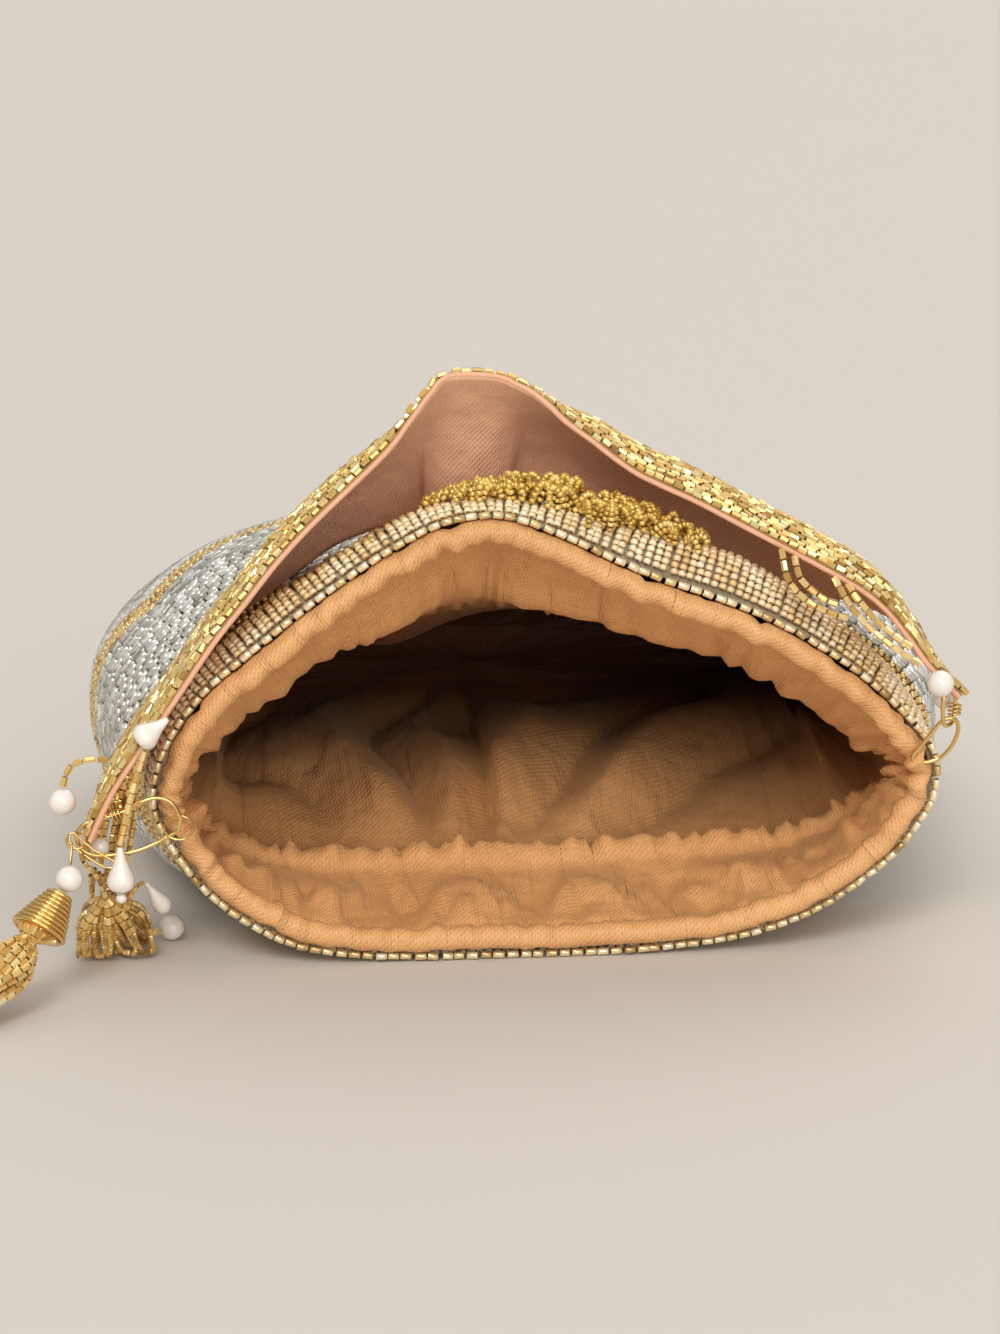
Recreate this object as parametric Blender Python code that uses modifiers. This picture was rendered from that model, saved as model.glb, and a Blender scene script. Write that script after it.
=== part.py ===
"""Beaded potli bag lying on its back, its open mouth facing -Y, in metres with +Z up.

The origin lies on the flat underside, under the middle of the body.
"""

import math

import bpy
import numpy as np
from mathutils import Matrix, Vector

MM = 0.001

# Body
MOUTH_HALF_WIDTH = 92.0
MOUTH_HEIGHT = 106.0
MOUTH_Y = -118.0
BODY_POINTS = 38
OUTLINE_STEPS = 12
NECK_START = 3.0
NECK_LENGTH = 60.0
COLLAR_FOOT = 40.0
COLLAR_FADE = 14.0
LEFT_CORNER_DRAWN = (-90.2, 35.0)
RIGHT_CORNER_DRAWN = (90.4, 45.6)
CORNER_SPREAD = 9.0
BODY_WALL = 2.2
BODY_TAIL_Y = 214.0

# Lining
CLOTH = 0.8
LINING_GAP = 1.2
HEM_DEPTH = 3.4
HEM_WIDTH = 3.7
HEM_CORNER_BULGE = 0.6
HEM_NARROWING = 0.42
CHANNEL_Y = 22.0
LINING_TAIL_Y = 166.0

# Rim, ruffle and general clearance
GAP = 0.3
RIM_BARRELS = 46
RIM_RADIUS = 0.95
RIM_GROOVE = 0.62
RIM_SIDES = 6
RIM_SEAT = 0.1
RUFFLE_HEIGHT = 4.8
RUFFLE_SPAN = (-25.0, 31.0)
RUFFLE_FRONT = 4.0
RUFFLE_DEPTH = 10.0
RUFFLE_LIFT = 1.9
RUFFLE_STEPS = 15
# Share of the ruffle's depth and of its height; the foot's middle point is on the collar's ridge
RUFFLE_PROFILE = [(0, 0), (0.15, 0.75), (0.5, 1), (0.8, 0.8), (1, 0.4), (1, 0), (0.3, 0)]

# Strap
STRAP_WIDTH = 38.0
STRAP_LINING = 1.0
STRAP_BEADS = 1.8
STRAP_LAYER_GAP = 0.5

# Links and strands
LINK_WIRE = 0.5
LINK_GAP = 1.5
LEFT_LINK_LENGTH = 22.9
LOWER_LINK_HEIGHT = 10.9
LOWER_LINK_LEAN = 0.3
UPPER_LINK_HEIGHT = 8.9
RING_WIRE = 0.32
RING_RADIUS = 3.2
RING_TILT = math.radians(40.0)
RING_SINK = 0.28
CHARM_RING_RADIUS = 2.2
TUNNEL_CLEARANCE = 0.4
WRAP_WIRE = 0.28
WRAP_TURNS = 3
WRAP_SIDES = 7
STRAND = 0.85
THIN_STRAND = 0.6
PEARL = 3.05
SMALL_PEARL = 2.3
TEAR_LENGTH = 10.5
TEAR_RADIUS = 3.15
TEAR_STEPS = 10
TEAR_PROFILE = [
    (0, 1.0), (0.2, 0.985), (0.28, 0.88), (0.45, 0.69), (0.77, 0.47), (0.98, 0.27), (0.87, 0.1),
    (0.45, 0.015), (0, 0),
]

# Tassel and loop bunch
CAP_LENGTH = 11.0
CAP_SMALL = 2.4
CAP_LARGE = 6.4
CAP_TURNS = 8
CAP_STEPS = 12
EYE_RADIUS = 1.15
EYE_WIRE = 0.22
SKIRT_LENGTH = 46.0
SKIRT_LEVEL = 4.7
SKIRT_LOBES = 13
BUNCH_LOBES = 8
TABLE_CLEARANCE = 0.02

# The mouth as it is drawn at its real size, which the two sizes above widen or raise
MOUTH_OUTLINE = [
    (-6, 0), (-52, 2), (-75, 13), (-88, 29), (-92, 43), (-85, 60), (-70.5, 74),
    (-47, 92), (-28, 103), (-15, 106), (0, 102), (21, 92), (45, 83), (63.5, 73),
    (80, 60), (90.5, 46), (88, 31), (75, 17), (56, 6), (30, 1),
]
PILLOW_OUTLINE = [
    (-0.06, 0), (-0.35, 0), (-0.66, 0), (-0.90, 0.12), (-1.0, 0.38), (-0.95, 0.64),
    (-0.72, 0.86), (-0.38, 0.97), (0, 1.0), (0.38, 0.97), (0.72, 0.86),
    (0.95, 0.64), (1.0, 0.38), (0.90, 0.12), (0.66, 0), (0.35, 0),
]
# Distance behind the mouth, half width, height and lift of the body's underside
STATIONS = [
    (0, 92, 106, 0), (3.5, 92.2, 105.5, 0), (7, 92.5, 104.5, 0), (13, 93, 102.5, 0), (23, 94.5, 97.5, 0),
    (34, 98, 98, 0), (54, 102, 97.5, 0), (90, 106.5, 93, 0),
    (132, 104, 81, 0), (155, 98, 69, 1), (176, 86, 53, 4), (194, 67, 35, 8),
    (206, 45, 22, 12), (BODY_TAIL_Y, 22, 9, 16),
]
# How far the beaded collar stands out from the mouth's upper edge: by place along the edge, and
# as a share of that by distance behind the mouth
COLLAR_FLARE = [
    (-90, 0), (-84, 2.4), (-60, 4.4), (-35, 3.8), (-12, 2.6), (8, 5.2), (22, 8.4), (40, 9.0),
    (58, 6.5), (75, 4.4), (86, 2.0), (90, 0),
]
COLLAR_SHARE = [(0, 0), (3.5, 0.62), (7, 1.0), (13, 0.8), (23, 0)]
# Near edge of the strap from its left end to its right end, with its width and
# the slopes at which its cloth leaves the near edge and reaches the far one
STRAP_EDGE = [
    (-104.9, -9.4, 33.4, 0.13, 0, 0), (-103.2, -9.4, 38.6, 0.16, 0, 5),
    (-99.5, -9.3, 44.6, 0.38, 10, 20), (-92.0, -8.6, 55.5, 0.72, 20, 10),
    (-84.5, -7.5, 66.0, 0.94, 25, -5), (-77.2, -5.5, 76.4, 1.0, 30, -22),
    (-69.0, -3.5, 86.2, 1.0, 34, -50), (-58.6, -1.0, 98.4, 1.0, 35, -70),
    (-46.5, 1.5, 109.6, 1.0, 33, -75), (-36.8, 4.5, 118.2, 1.0, 18, -76),
    (-30.5, 8.0, 125.6, 0.96, -12, -77), (-24.5, 11.0, 132.4, 0.9, -38, -78),
    (-19.5, 12.5, 134.8, 0.88, -48, -78), (-12.0, 12.0, 133.8, 0.9, -42, -78),
    (-3.0, 9.5, 129.8, 0.96, -12, -77), (3.0, 6.5, 124.4, 1.0, 12, -76),
    (10.0, 4.0, 119.4, 1.0, 26, -75), (18.0, 2.5, 113.4, 1.0, 32, -75),
    (33.0, 1.0, 106.2, 1.0, 35, -75), (51.5, -0.5, 96.3, 1.0, 35, -75),
    (64.0, -2.5, 89.8, 1.0, 35, -72), (73.5, -5.0, 83.6, 0.92, 30, -55),
    (79.5, -7.5, 76.8, 0.7, 22, -25), (84.0, -9.3, 70.6, 0.42, 10, 5),
    (87.5, -10.6, 66.6, 0.24, 0, 5), (92.0, -11.0, 62.2, 0.18, 0, 0),
]
STRAP_STEPS = 32
STRAP_COLUMNS = 5
STRAP_CROWN_X = -17.0
STRAP_CROWN_SPREAD = 17.0
LEFT_TAB_TOP = 45.0
RIGHT_TAB_TOP = 67.0

# Two pairs of strands that leave the strap's near edge at the right and sag over the collar:
# where each starts, and its points after that
RIGHT_STRANDS = [
    (51.8, [(53.2, -4.6, 89.4), (57.2, -5.0, 84.8), (62.0, -5.2, 82.0), (67.2, -5.2, 80.2)]),
    (54.8, [(55.8, -4.8, 90.0), (59.1, -5.2, 86.5), (62.2, -5.4, 84.5), (64.6, -5.4, 83.6)]),
    (63.8, [(66.6, -6.6, 84.4), (70.9, -8.4, 79.3), (75.2, -10.0, 75.6), (79.6, -11.4, 72.6),
            (82.6, -12.6, 70.8)]),
    (66.6, [(68.6, -7.0, 85.3), (72.6, -8.8, 80.6), (76.8, -10.4, 77.1), (80.6, -11.8, 74.6)]),
]

PEARL_LOOK = ("pearl", (0.86, 0.83, 0.78), 0.22, 0.0)
GOLD_BEADS = ("gold_beads", (0.62, 0.43, 0.14), 0.24, 0.85)
CHAMPAGNE_BEADS = ("champagne_beads", (0.60, 0.50, 0.35), 0.25, 0.6)
SILVER_BEADS = ("silver_beads", (0.62, 0.64, 0.63), 0.2, 0.7)
PEACH_SATIN = ("peach_satin", (0.78, 0.42, 0.20), 0.55, 0.0)
SALMON_SATIN = ("salmon_satin", (0.74, 0.38, 0.24), 0.6, 0.0)
GOLD_WIRE = ("gold_wire", (0.83, 0.60, 0.22), 0.22, 1.0)


def clear_scene():
    for obj in list(bpy.data.objects):
        bpy.data.objects.remove(obj)


def new_collection(name):
    collection = bpy.data.collections.new(name)
    bpy.context.scene.collection.children.link(collection)
    return collection


clear_scene()
BAG = new_collection("potli_bag")
CUTTERS = new_collection("cutters")


def material(look):
    name, colour, roughness, metallic = look
    found = bpy.data.materials.get(name)
    if found:
        return found
    made = bpy.data.materials.new(name)
    made.use_nodes = True
    shader = made.node_tree.nodes["Principled BSDF"]
    shader.inputs["Base Color"].default_value = (*colour, 1)
    shader.inputs["Roughness"].default_value = roughness
    shader.inputs["Metallic"].default_value = metallic
    return made


def place(name, mesh, look, origin=None):
    """Links a mesh to the bag, with its origin moved to a joint where one is given."""
    obj = bpy.data.objects.new(name, mesh)
    mesh.materials.clear()
    mesh.materials.append(material(look))
    mesh.shade_smooth()
    mesh.set_sharp_from_angle(angle=math.radians(50))
    BAG.objects.link(obj)
    if origin is not None:
        move_origin(obj, origin)
    return obj


def move_origin(obj, origin):
    obj.data.transform(Matrix.Translation(-world(origin)))
    obj.location = world(origin)


def hang(obj, name, pivot):
    """Gives a turned piece a parent empty on the axis that it swings about."""
    axis = bpy.data.objects.new(name, None)
    BAG.objects.link(axis)
    axis.location = world(pivot)
    bpy.context.view_layer.update()
    obj.parent = axis
    obj.matrix_parent_inverse = axis.matrix_world.inverted()


def world(point):
    """A point in mm, measured from the mouth's plane, in the part's metres."""
    return Vector((point[0], point[1] + MOUTH_Y, point[2])) * MM


def catmull_rom(points, closed, steps):
    """Points of a smooth curve through the given ones, `steps` to each span."""
    points = np.array(points, float)
    count = len(points)
    spans = count if closed else count - 1
    out = []
    for i in range(spans):
        if closed:
            p0, p1, p2, p3 = (points[(i + k) % count] for k in (-1, 0, 1, 2))
        else:
            p1, p2 = points[i], points[i + 1]
            p0 = points[i - 1] if i else 2 * p1 - p2
            p3 = points[i + 2] if i + 2 < count else 2 * p2 - p1
        for t in np.arange(steps) / steps:
            out.append(
                0.5 * (2 * p1 + (p2 - p0) * t + (2 * p0 - 5 * p1 + 4 * p2 - p3) * t**2
                       + (3 * p1 - p0 - 3 * p2 + p3) * t**3)
            )
    if not closed:
        out.append(points[-1])
    return np.array(out)


def spread(points, count, closed, weight=None):
    """Takes `count` points along a dense line, closer together where weight is high."""
    count = round(count)
    if closed:
        points = np.vstack([points, points[:1]])
    lengths = np.linalg.norm(np.diff(points, axis=0), axis=1)
    if weight is not None:
        lengths = lengths * weight((points[1:] + points[:-1]) / 2)
    along = np.concatenate([[0], np.cumsum(lengths)])
    wanted = np.linspace(0, along[-1], count + 1 if closed else count)
    taken = np.array([np.interp(wanted, along, points[:, k]) for k in range(points.shape[1])]).T
    return taken[:-1] if closed else taken


def inward_normals(loop):
    """Unit normals of a closed loop that runs clockwise, pointing to its inside."""
    tangent = np.roll(loop, -1, axis=0) - np.roll(loop, 1, axis=0)
    tangent /= np.linalg.norm(tangent, axis=1)[:, None]
    return np.stack([tangent[:, 1], -tangent[:, 0]], axis=1)


DRAWN_HALF_WIDTH = -min(x for x, z in MOUTH_OUTLINE)
DRAWN_HEIGHT = max(z for x, z in MOUTH_OUTLINE)
WIDEN = MOUTH_HALF_WIDTH / DRAWN_HALF_WIDTH
TALLER = MOUTH_HEIGHT / DRAWN_HEIGHT
# The mouth's corners, where the strap's links go through the hem
LEFT_CORNER = np.array(LEFT_CORNER_DRAWN) * (WIDEN, TALLER)
RIGHT_CORNER = np.array(RIGHT_CORNER_DRAWN) * (WIDEN, TALLER)


def follow(point):
    """A point drawn beside the mouth, moved as the mouth's corners and top edge move with its size."""
    x, y, z = point
    corner = np.array(LEFT_CORNER_DRAWN if x < 0 else RIGHT_CORNER_DRAWN)
    tab = LEFT_TAB_TOP if x < 0 else RIGHT_TAB_TOP
    crown = max(z for x, y, z, *rest in STRAP_EDGE)
    aside = np.clip(x, -abs(corner[0]), abs(corner[0]))
    rise = np.interp(z, (tab, crown), (corner[1], crown))
    return np.array((x + aside * (WIDEN - 1), y, z + rise * (TALLER - 1)))


def near_corner(points, corner):
    distance = np.linalg.norm(points - corner, axis=1)
    return np.exp(-((distance / CORNER_SPREAD) ** 2))


def corner_weight(points):
    return 1 + 1.7 * (near_corner(points, LEFT_CORNER) + near_corner(points, RIGHT_CORNER))


def mouth_loop():
    dense = catmull_rom(MOUTH_OUTLINE, True, OUTLINE_STEPS)
    dense[:, 1] = np.maximum(dense[:, 1], 0)
    return spread(dense * (WIDEN, TALLER), BODY_POINTS, True, corner_weight)


def pillow_loop(half_width, height):
    dense = catmull_rom(PILLOW_OUTLINE, True, OUTLINE_STEPS)
    dense[:, 1] = np.maximum(dense[:, 1], 0)
    return spread(dense, BODY_POINTS, True) * (half_width, height)


def smooth_step(value):
    value = np.clip(value, 0, 1)
    return value * value * (3 - 2 * value)


MOUTH = mouth_loop()


def station_loop(station):
    """The body's section: the mouth's outline behind the rim, a pillow's further back."""
    y, half_width, height, lift = station
    shrunk = MOUTH * (half_width / DRAWN_HALF_WIDTH, height / DRAWN_HEIGHT)
    pillow = pillow_loop(half_width * WIDEN, height * TALLER)
    blend = smooth_step((y - NECK_START) / NECK_LENGTH)
    loop = shrunk * (1 - blend) + pillow * blend
    return loop + (0, lift)


def collar_flare(y, loop):
    """The same section with the collar standing out round its upper half."""
    reach = np.interp(loop[:, 0] / WIDEN, *np.transpose(COLLAR_FLARE))
    share = np.interp(y, *np.transpose(COLLAR_SHARE))
    upper = smooth_step((loop[:, 1] / TALLER - COLLAR_FOOT) / COLLAR_FADE)
    return loop - inward_normals(loop) * (reach * share * upper)[:, None]


PLAIN_SECTIONS = [(station[0], station_loop(station)) for station in STATIONS]
SECTIONS = [(y, collar_flare(y, loop)) for y, loop in PLAIN_SECTIONS]


def section_at(y, sections):
    """The body's section between two stations, on its flat facets."""
    for (y0, loop0), (y1, loop1) in zip(sections, sections[1:]):
        if y <= y1:
            share = max(0.0, (y - y0) / (y1 - y0))
            return loop0 * (1 - share) + loop1 * share
    return sections[-1][1]


def inset_loop(y, inset):
    loop = section_at(max(y, 0), PLAIN_SECTIONS)
    return loop + inward_normals(loop) * np.reshape(inset, (-1, 1))


def loft(name, rings, closed_along=False, tips=()):
    """A mesh through rings of points in mm. A tip closes the first or the last ring with a fan."""
    count = len(rings[0])
    verts = [world(p) for ring in rings for p in ring]
    faces = []
    rows = len(rings)
    for j in range(rows if closed_along else rows - 1):
        a, b = j * count, (j + 1) % rows * count
        for i in range(count):
            k = (i + 1) % count
            faces.append((a + i, a + k, b + k, b + i))
    for end, tip in tips:
        start = 0 if end == "first" else (rows - 1) * count
        verts.append(world(tip))
        for i in range(count):
            k = (i + 1) % count
            pair = (start + k, start + i) if end == "first" else (start + i, start + k)
            faces.append((*pair, len(verts) - 1))
    mesh = bpy.data.meshes.new(name)
    mesh.from_pydata(verts, [], faces)
    return mesh


def solidify(obj, thickness, offset):
    shell = obj.modifiers.new("thickness", "SOLIDIFY")
    shell.thickness = thickness * MM
    shell.offset = offset
    return shell


def ring_of(loop, y):
    return [(x, y, z) for x, z in loop]


def bag_shell():
    rings = [ring_of(loop, y) for y, loop in SECTIONS]
    tail = SECTIONS[-1][1].mean(axis=0)
    mesh = loft("bag_shell", rings, tips=[("last", (tail[0], BODY_TAIL_Y + 1.5, tail[1]))])
    shell = place("bag_shell", mesh, SILVER_BEADS)
    solidify(shell, BODY_WALL, -1)


# The hem starts inside the rim's beads
HEM_ROOT = 2 * RIM_RADIUS + RIM_SEAT + 2 * GAP + CLOTH / 2


def lining_profile():
    """Inset from the body's outside, distance behind the mouth and share of the hem's width."""
    wall = BODY_WALL + LINING_GAP + CLOTH
    hem = [
        (HEM_ROOT, -0.5, 0), (HEM_ROOT, -0.7 * HEM_DEPTH, 0), (HEM_ROOT, -HEM_DEPTH, 0.28),
        (HEM_ROOT, -HEM_DEPTH, 0.75), (HEM_ROOT, -0.72 * HEM_DEPTH, 1), (HEM_ROOT, 0.5, 1.1),
    ]
    channel = [(wall + 1.8, 10, 0), (wall + 0.9, CHANNEL_Y - 3, 0), (wall, CHANNEL_Y, 0)]
    pouch = [
        (wall + 1.1, CHANNEL_Y + 4, 0), (wall + 0.2, 62, 0), (wall + 0.3, 105, 0), (wall + 1.2, 145, 0),
        (wall + 7, LINING_TAIL_Y, 0),
    ]
    return hem + channel + pouch


def hem_width():
    return HEM_WIDTH * (1 - HEM_NARROWING * near_corner(MOUTH, RIGHT_CORNER))


def hem_depth():
    corners = near_corner(MOUTH, LEFT_CORNER) + near_corner(MOUTH, RIGHT_CORNER)
    return 1 + HEM_CORNER_BULGE * corners


def lining():
    rings = []
    for inset, y, across in lining_profile():
        loop = inset_loop(y, inset + across * hem_width())
        depth = y * hem_depth() if y < -1 else np.full(len(loop), y)
        rings.append([(x, d, z) for (x, z), d in zip(loop, depth)])
    end = np.mean([(x, z) for x, y, z in rings[-1]], axis=0)
    mesh = loft("lining", rings, tips=[("last", (end[0], LINING_TAIL_Y + 3, end[1]))])
    obj = place("lining", mesh, PEACH_SATIN)
    solidify(obj, CLOTH, 0)
    for cutter in (ring_tunnel(), pear_tunnel()):
        cut(obj, cutter)


def cut(obj, cutter):
    boolean = obj.modifiers.new("cut", "BOOLEAN")
    boolean.operation = "DIFFERENCE"
    boolean.object = cutter


def rim_edging():
    """A row of short tube beads sewn along the mouth's edge, as one ribbed cord."""
    dense = spread(catmull_rom(MOUTH, True, 6), RIM_BARRELS * 2, True)
    dense[:, 1] = np.maximum(dense[:, 1], 0)
    normals = inward_normals(dense)
    rings = []
    for i, (point, normal) in enumerate(zip(dense, normals)):
        radius = RIM_RADIUS if i % 2 else RIM_GROOVE
        centre = point + normal * (RIM_RADIUS + RIM_SEAT)
        ring = []
        for turn in np.arange(RIM_SIDES) / RIM_SIDES * math.tau:
            flat = centre + normal * radius * math.cos(turn)
            ring.append((flat[0], -RIM_RADIUS - GAP + radius * math.sin(turn), max(flat[1], 0)))
        rings.append(ring)
    mesh = loft("rim_edging", rings, closed_along=True)
    place("rim_edging", mesh, CHAMPAGNE_BEADS)


def outside_point(index, y, height):
    """A point above the body's skin: a place along the section, behind the mouth, and a height."""
    loop = section_at(y, SECTIONS)
    normals = -inward_normals(loop)
    low = int(index)
    share = index - low
    point = loop[low] * (1 - share) + loop[low + 1] * share
    normal = normals[low] * (1 - share) + normals[low + 1] * share
    flat = point + normal / np.linalg.norm(normal) * height
    return np.array((flat[0], y, flat[1]))


def top_index(x):
    """The place along the mouth's upper edge that lies at x."""
    half = MOUTH_HEIGHT / 2
    for i in range(len(MOUTH) - 1):
        (x0, z0), (x1, z1) = MOUTH[i], MOUTH[i + 1]
        if z0 > half and z1 > half and x0 <= x < x1:
            return i + (x - x0) / (x1 - x0)
    raise ValueError("x lies outside the upper edge")


def bead_loop_ruffle():
    rings = []
    for i, x in enumerate(np.linspace(*RUFFLE_SPAN, RUFFLE_STEPS)):
        share = i / (RUFFLE_STEPS - 1)
        swell = math.sin(math.pi * (0.12 + 0.76 * share)) ** 0.6 * (1.0 if i % 2 else 0.8)
        ring = []
        for across, height in RUFFLE_PROFILE:
            rise = RUFFLE_LIFT + height * swell * RUFFLE_HEIGHT
            ring.append(outside_point(top_index(x), RUFFLE_FRONT + across * RUFFLE_DEPTH, rise))
        rings.append(ring)
    tips = [("first", np.mean(rings[0], axis=0)), ("last", np.mean(rings[-1], axis=0))]
    mesh = loft("bead_loop_ruffle", rings, tips=tips)
    mesh.flip_normals()
    place("bead_loop_ruffle", mesh, GOLD_BEADS)


def strap_rows():
    """Near-edge points of the strap with the width and slopes there, evenly spaced."""
    edge = [(*follow(row[:3]), *row[3:]) for row in STRAP_EDGE]
    return spread(catmull_rom(edge, False, 8), STRAP_STEPS + 1, False)


def strap_grid(columns):
    """Points of the strap's middle sheet: rows along the strap, columns from near to far edge."""
    rows = strap_rows()
    edge = rows[:, :3]
    tangent = np.gradient(edge, axis=0)
    grid = []
    for (x, y, z, width, first, last), along in zip(rows, tangent):
        up = np.array((-along[2], 0, along[0]))
        up /= np.linalg.norm(up)
        aside = (x - STRAP_CROWN_X * WIDEN) / (STRAP_CROWN_SPREAD * WIDEN)
        crown = min(1.0, 1.4 * math.exp(-(aside**2)))
        up = up * (1 - crown) + np.array((0, 0, crown))
        up /= np.linalg.norm(up)
        point = np.array((x, y, z))
        line = [point]
        step = width * STRAP_WIDTH / columns
        for k in range(columns):
            slope = math.radians(first + (last - first) * (k + 0.5) / columns)
            point = point + step * (math.cos(slope) * np.array((0, 1, 0)) + math.sin(slope) * up)
            line.append(point)
        grid.append(line)
    return np.array(grid)


STRAP_GRID = strap_grid(STRAP_COLUMNS)


def grid_normals(grid):
    along = np.gradient(grid, axis=0)
    across = np.gradient(grid, axis=1)
    normals = np.cross(across, along)
    return normals / np.linalg.norm(normals, axis=2)[:, :, None]


def sheet(name, grid):
    rows, columns = grid.shape[:2]
    verts = [world(p) for line in grid for p in line]
    faces = []
    for j in range(rows - 1):
        for i in range(columns - 1):
            a = j * columns + i
            faces.append((a, a + columns, a + columns + 1, a + 1))
    mesh = bpy.data.meshes.new(name)
    mesh.from_pydata(verts, [], faces)
    return mesh


def strap_lining():
    obj = place("strap_lining", sheet("strap_lining", STRAP_GRID), SALMON_SATIN, HANDLE_PIVOT)
    solidify(obj, STRAP_LINING, 0)
    cut(obj, tube_cutter("left_tab_hole", link_line(left_link_points()), LINK_WIRE, sides=6))
    cut(obj, tube_cutter("right_tab_hole", link_line(upper_link_points()), LINK_WIRE, sides=6))


def strap_beadwork():
    lift = STRAP_LINING / 2 + STRAP_LAYER_GAP + STRAP_BEADS / 2
    grid = (STRAP_GRID - grid_normals(STRAP_GRID) * lift)[2:-2]
    obj = place("strap_beadwork", sheet("strap_beadwork", grid), GOLD_BEADS, HANDLE_PIVOT)
    solidify(obj, STRAP_BEADS, 0)


# The hem's tip and the ring through it, at the left corner
HEM_TIP_Y = -HEM_DEPTH * (1 + HEM_CORNER_BULGE) - CLOTH / 2
LINK_Y = HEM_TIP_Y - LINK_GAP - LINK_WIRE
LEFT_PIVOT = np.array((LEFT_CORNER[0] + HEM_ROOT + 0.5 * HEM_WIDTH, LINK_Y, LEFT_CORNER[1]))
RING_DIRECTION = np.array((0, math.cos(RING_TILT), math.sin(RING_TILT)))
RING_CENTRE = LEFT_PIVOT + RING_DIRECTION * RING_SINK * RING_RADIUS
RIGHT_PIVOT = np.array((
    RIGHT_CORNER[0] - HEM_ROOT - (1 - HEM_NARROWING) / 2 * HEM_WIDTH,
    -0.78 * HEM_DEPTH * (1 + HEM_CORNER_BULGE),
    RIGHT_CORNER[1],
))
AXIS = (RIGHT_PIVOT - LEFT_PIVOT) / np.linalg.norm(RIGHT_PIVOT - LEFT_PIVOT)
HANDLE_PIVOT = LEFT_PIVOT


def on_axis(x):
    """The point of the handle's axis at x."""
    return LEFT_PIVOT + AXIS * ((x - LEFT_PIVOT[0]) / AXIS[0])


CHARM_CENTRE = on_axis(LEFT_PIVOT[0] - LEFT_LINK_LENGTH)


def left_link_points():
    """Centre line of the long link: right bend in the ring, left bend through the strap's end."""
    flat = [
        (0.25, 3.6), (0.2, 1.8), (-0.1, 0.3), (-1.0, -0.5), (-2.7, -1.45), (-5.5, -2.9), (-9.5, -4.4),
        (-14.0, -5.1), (-18.5, -5.2), (-21.6, -3.8), (-LEFT_LINK_LENGTH, -0.6), (-21.0, 2.2),
        (-16.8, 3.4), (-12.2, 4.9), (-8.6, 6.9), (-4.6, 7.9), (-1.5, 6.6),
    ]
    return [LEFT_PIVOT + np.array((x, 0, z)) for x, z in flat]


def circle_points(centre, radius, count):
    """A circle in the plane that holds X and the rings' tilted direction."""
    out = []
    for turn in np.arange(count) / count * math.tau:
        side = np.array((1, 0, 0)) * math.cos(turn) + RING_DIRECTION * math.sin(turn)
        out.append(centre + side * radius)
    return out


def lower_link_points():
    """Centre line of the pear link: its straight lower bend lies on the axis, through the hem."""
    flat = [
        (-1.7, 0), (1.5, 0.1), (3.9, 1.1), (5.8, 3.5), (6.8, 6.4), (6.8, 8.8), (5.8, 10.4),
        (4.2, LOWER_LINK_HEIGHT), (2.6, 10.1), (1.0, 7.8), (-0.9, 5.1), (-2.7, 2.6), (-3.0, 1.0),
    ]
    return [RIGHT_PIVOT + np.array((x, -z * LOWER_LINK_LEAN, z + x * AXIS[2])) for x, z in flat]


def upper_link_points():
    """Centre line of the small triangular link, hooked through the pear link's top."""
    turn = math.radians(48)
    along = np.array((math.cos(turn), math.sin(turn), 0))
    rise = LOWER_LINK_HEIGHT - 2 * LINK_WIRE - 0.4
    foot = RIGHT_PIVOT + np.array((4.3, -LOWER_LINK_LEAN * LOWER_LINK_HEIGHT, rise))
    flat = [
        (0, 0), (1.7, 0.4), (2.6, 2.0), (2.9, 4.6), (2.7, 7.0), (1.7, 8.5), (0, UPPER_LINK_HEIGHT),
        (-1.7, 8.5), (-2.7, 7.0), (-2.9, 4.6), (-2.6, 2.0), (-1.7, 0.4),
    ]
    return [foot + along * p + np.array((0, 0, q)) for p, q in flat]


def wire_curve(name, points, radius, closed, sides=6):
    curve = bpy.data.curves.new(name, "CURVE")
    curve.dimensions = "3D"
    spline = curve.splines.new("POLY")
    spline.points.add(len(points) - 1)
    for point, place_at in zip(spline.points, points):
        point.co = (*world(place_at), 1)
    spline.use_cyclic_u = closed
    spline.use_smooth = True
    curve.bevel_depth = radius * MM
    curve.bevel_resolution = (sides - 4) // 2
    curve.use_fill_caps = True
    return curve


def wire(name, points, radius, look, closed=False, origin=None, smooth=None, sides=6):
    """A wire or a strand as a curve object through the given points."""
    if smooth:
        points = spread(catmull_rom(points, closed, 8), smooth, closed)
    curve = wire_curve(name, points, radius, closed, sides)
    obj = bpy.data.objects.new(name, curve)
    curve.materials.append(material(look))
    BAG.objects.link(obj)
    if origin is not None:
        curve.transform(Matrix.Translation(-world(origin)))
        obj.location = world(origin)
    return obj


def link_line(points):
    """A link's centre line, evenly spaced for a cutter."""
    return spread(catmull_rom(points, True, 8), 30, True)


def tube_cutter(name, line, radius, sides=8):
    """A closed tube around a centre line, as a mesh to cut with."""
    curve = wire_curve(name, line, radius + TUNNEL_CLEARANCE, True, sides)
    guide = bpy.data.objects.new(name, curve)
    CUTTERS.objects.link(guide)
    bpy.context.view_layer.update()
    ready = guide.evaluated_get(bpy.context.evaluated_depsgraph_get())
    mesh = bpy.data.meshes.new_from_object(ready)
    bpy.data.objects.remove(guide)
    return cutter_object(name, mesh)


def cutter_object(name, mesh):
    cutter = bpy.data.objects.new(name, mesh)
    cutter.hide_render = True
    cutter.display_type = "WIRE"
    CUTTERS.objects.link(cutter)
    return cutter


def ring_tunnel():
    return tube_cutter("ring_tunnel", circle_points(RING_CENTRE, RING_RADIUS, 24), RING_WIRE)


def pear_tunnel():
    return tube_cutter("pear_tunnel", link_line(lower_link_points()), LINK_WIRE)


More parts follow.
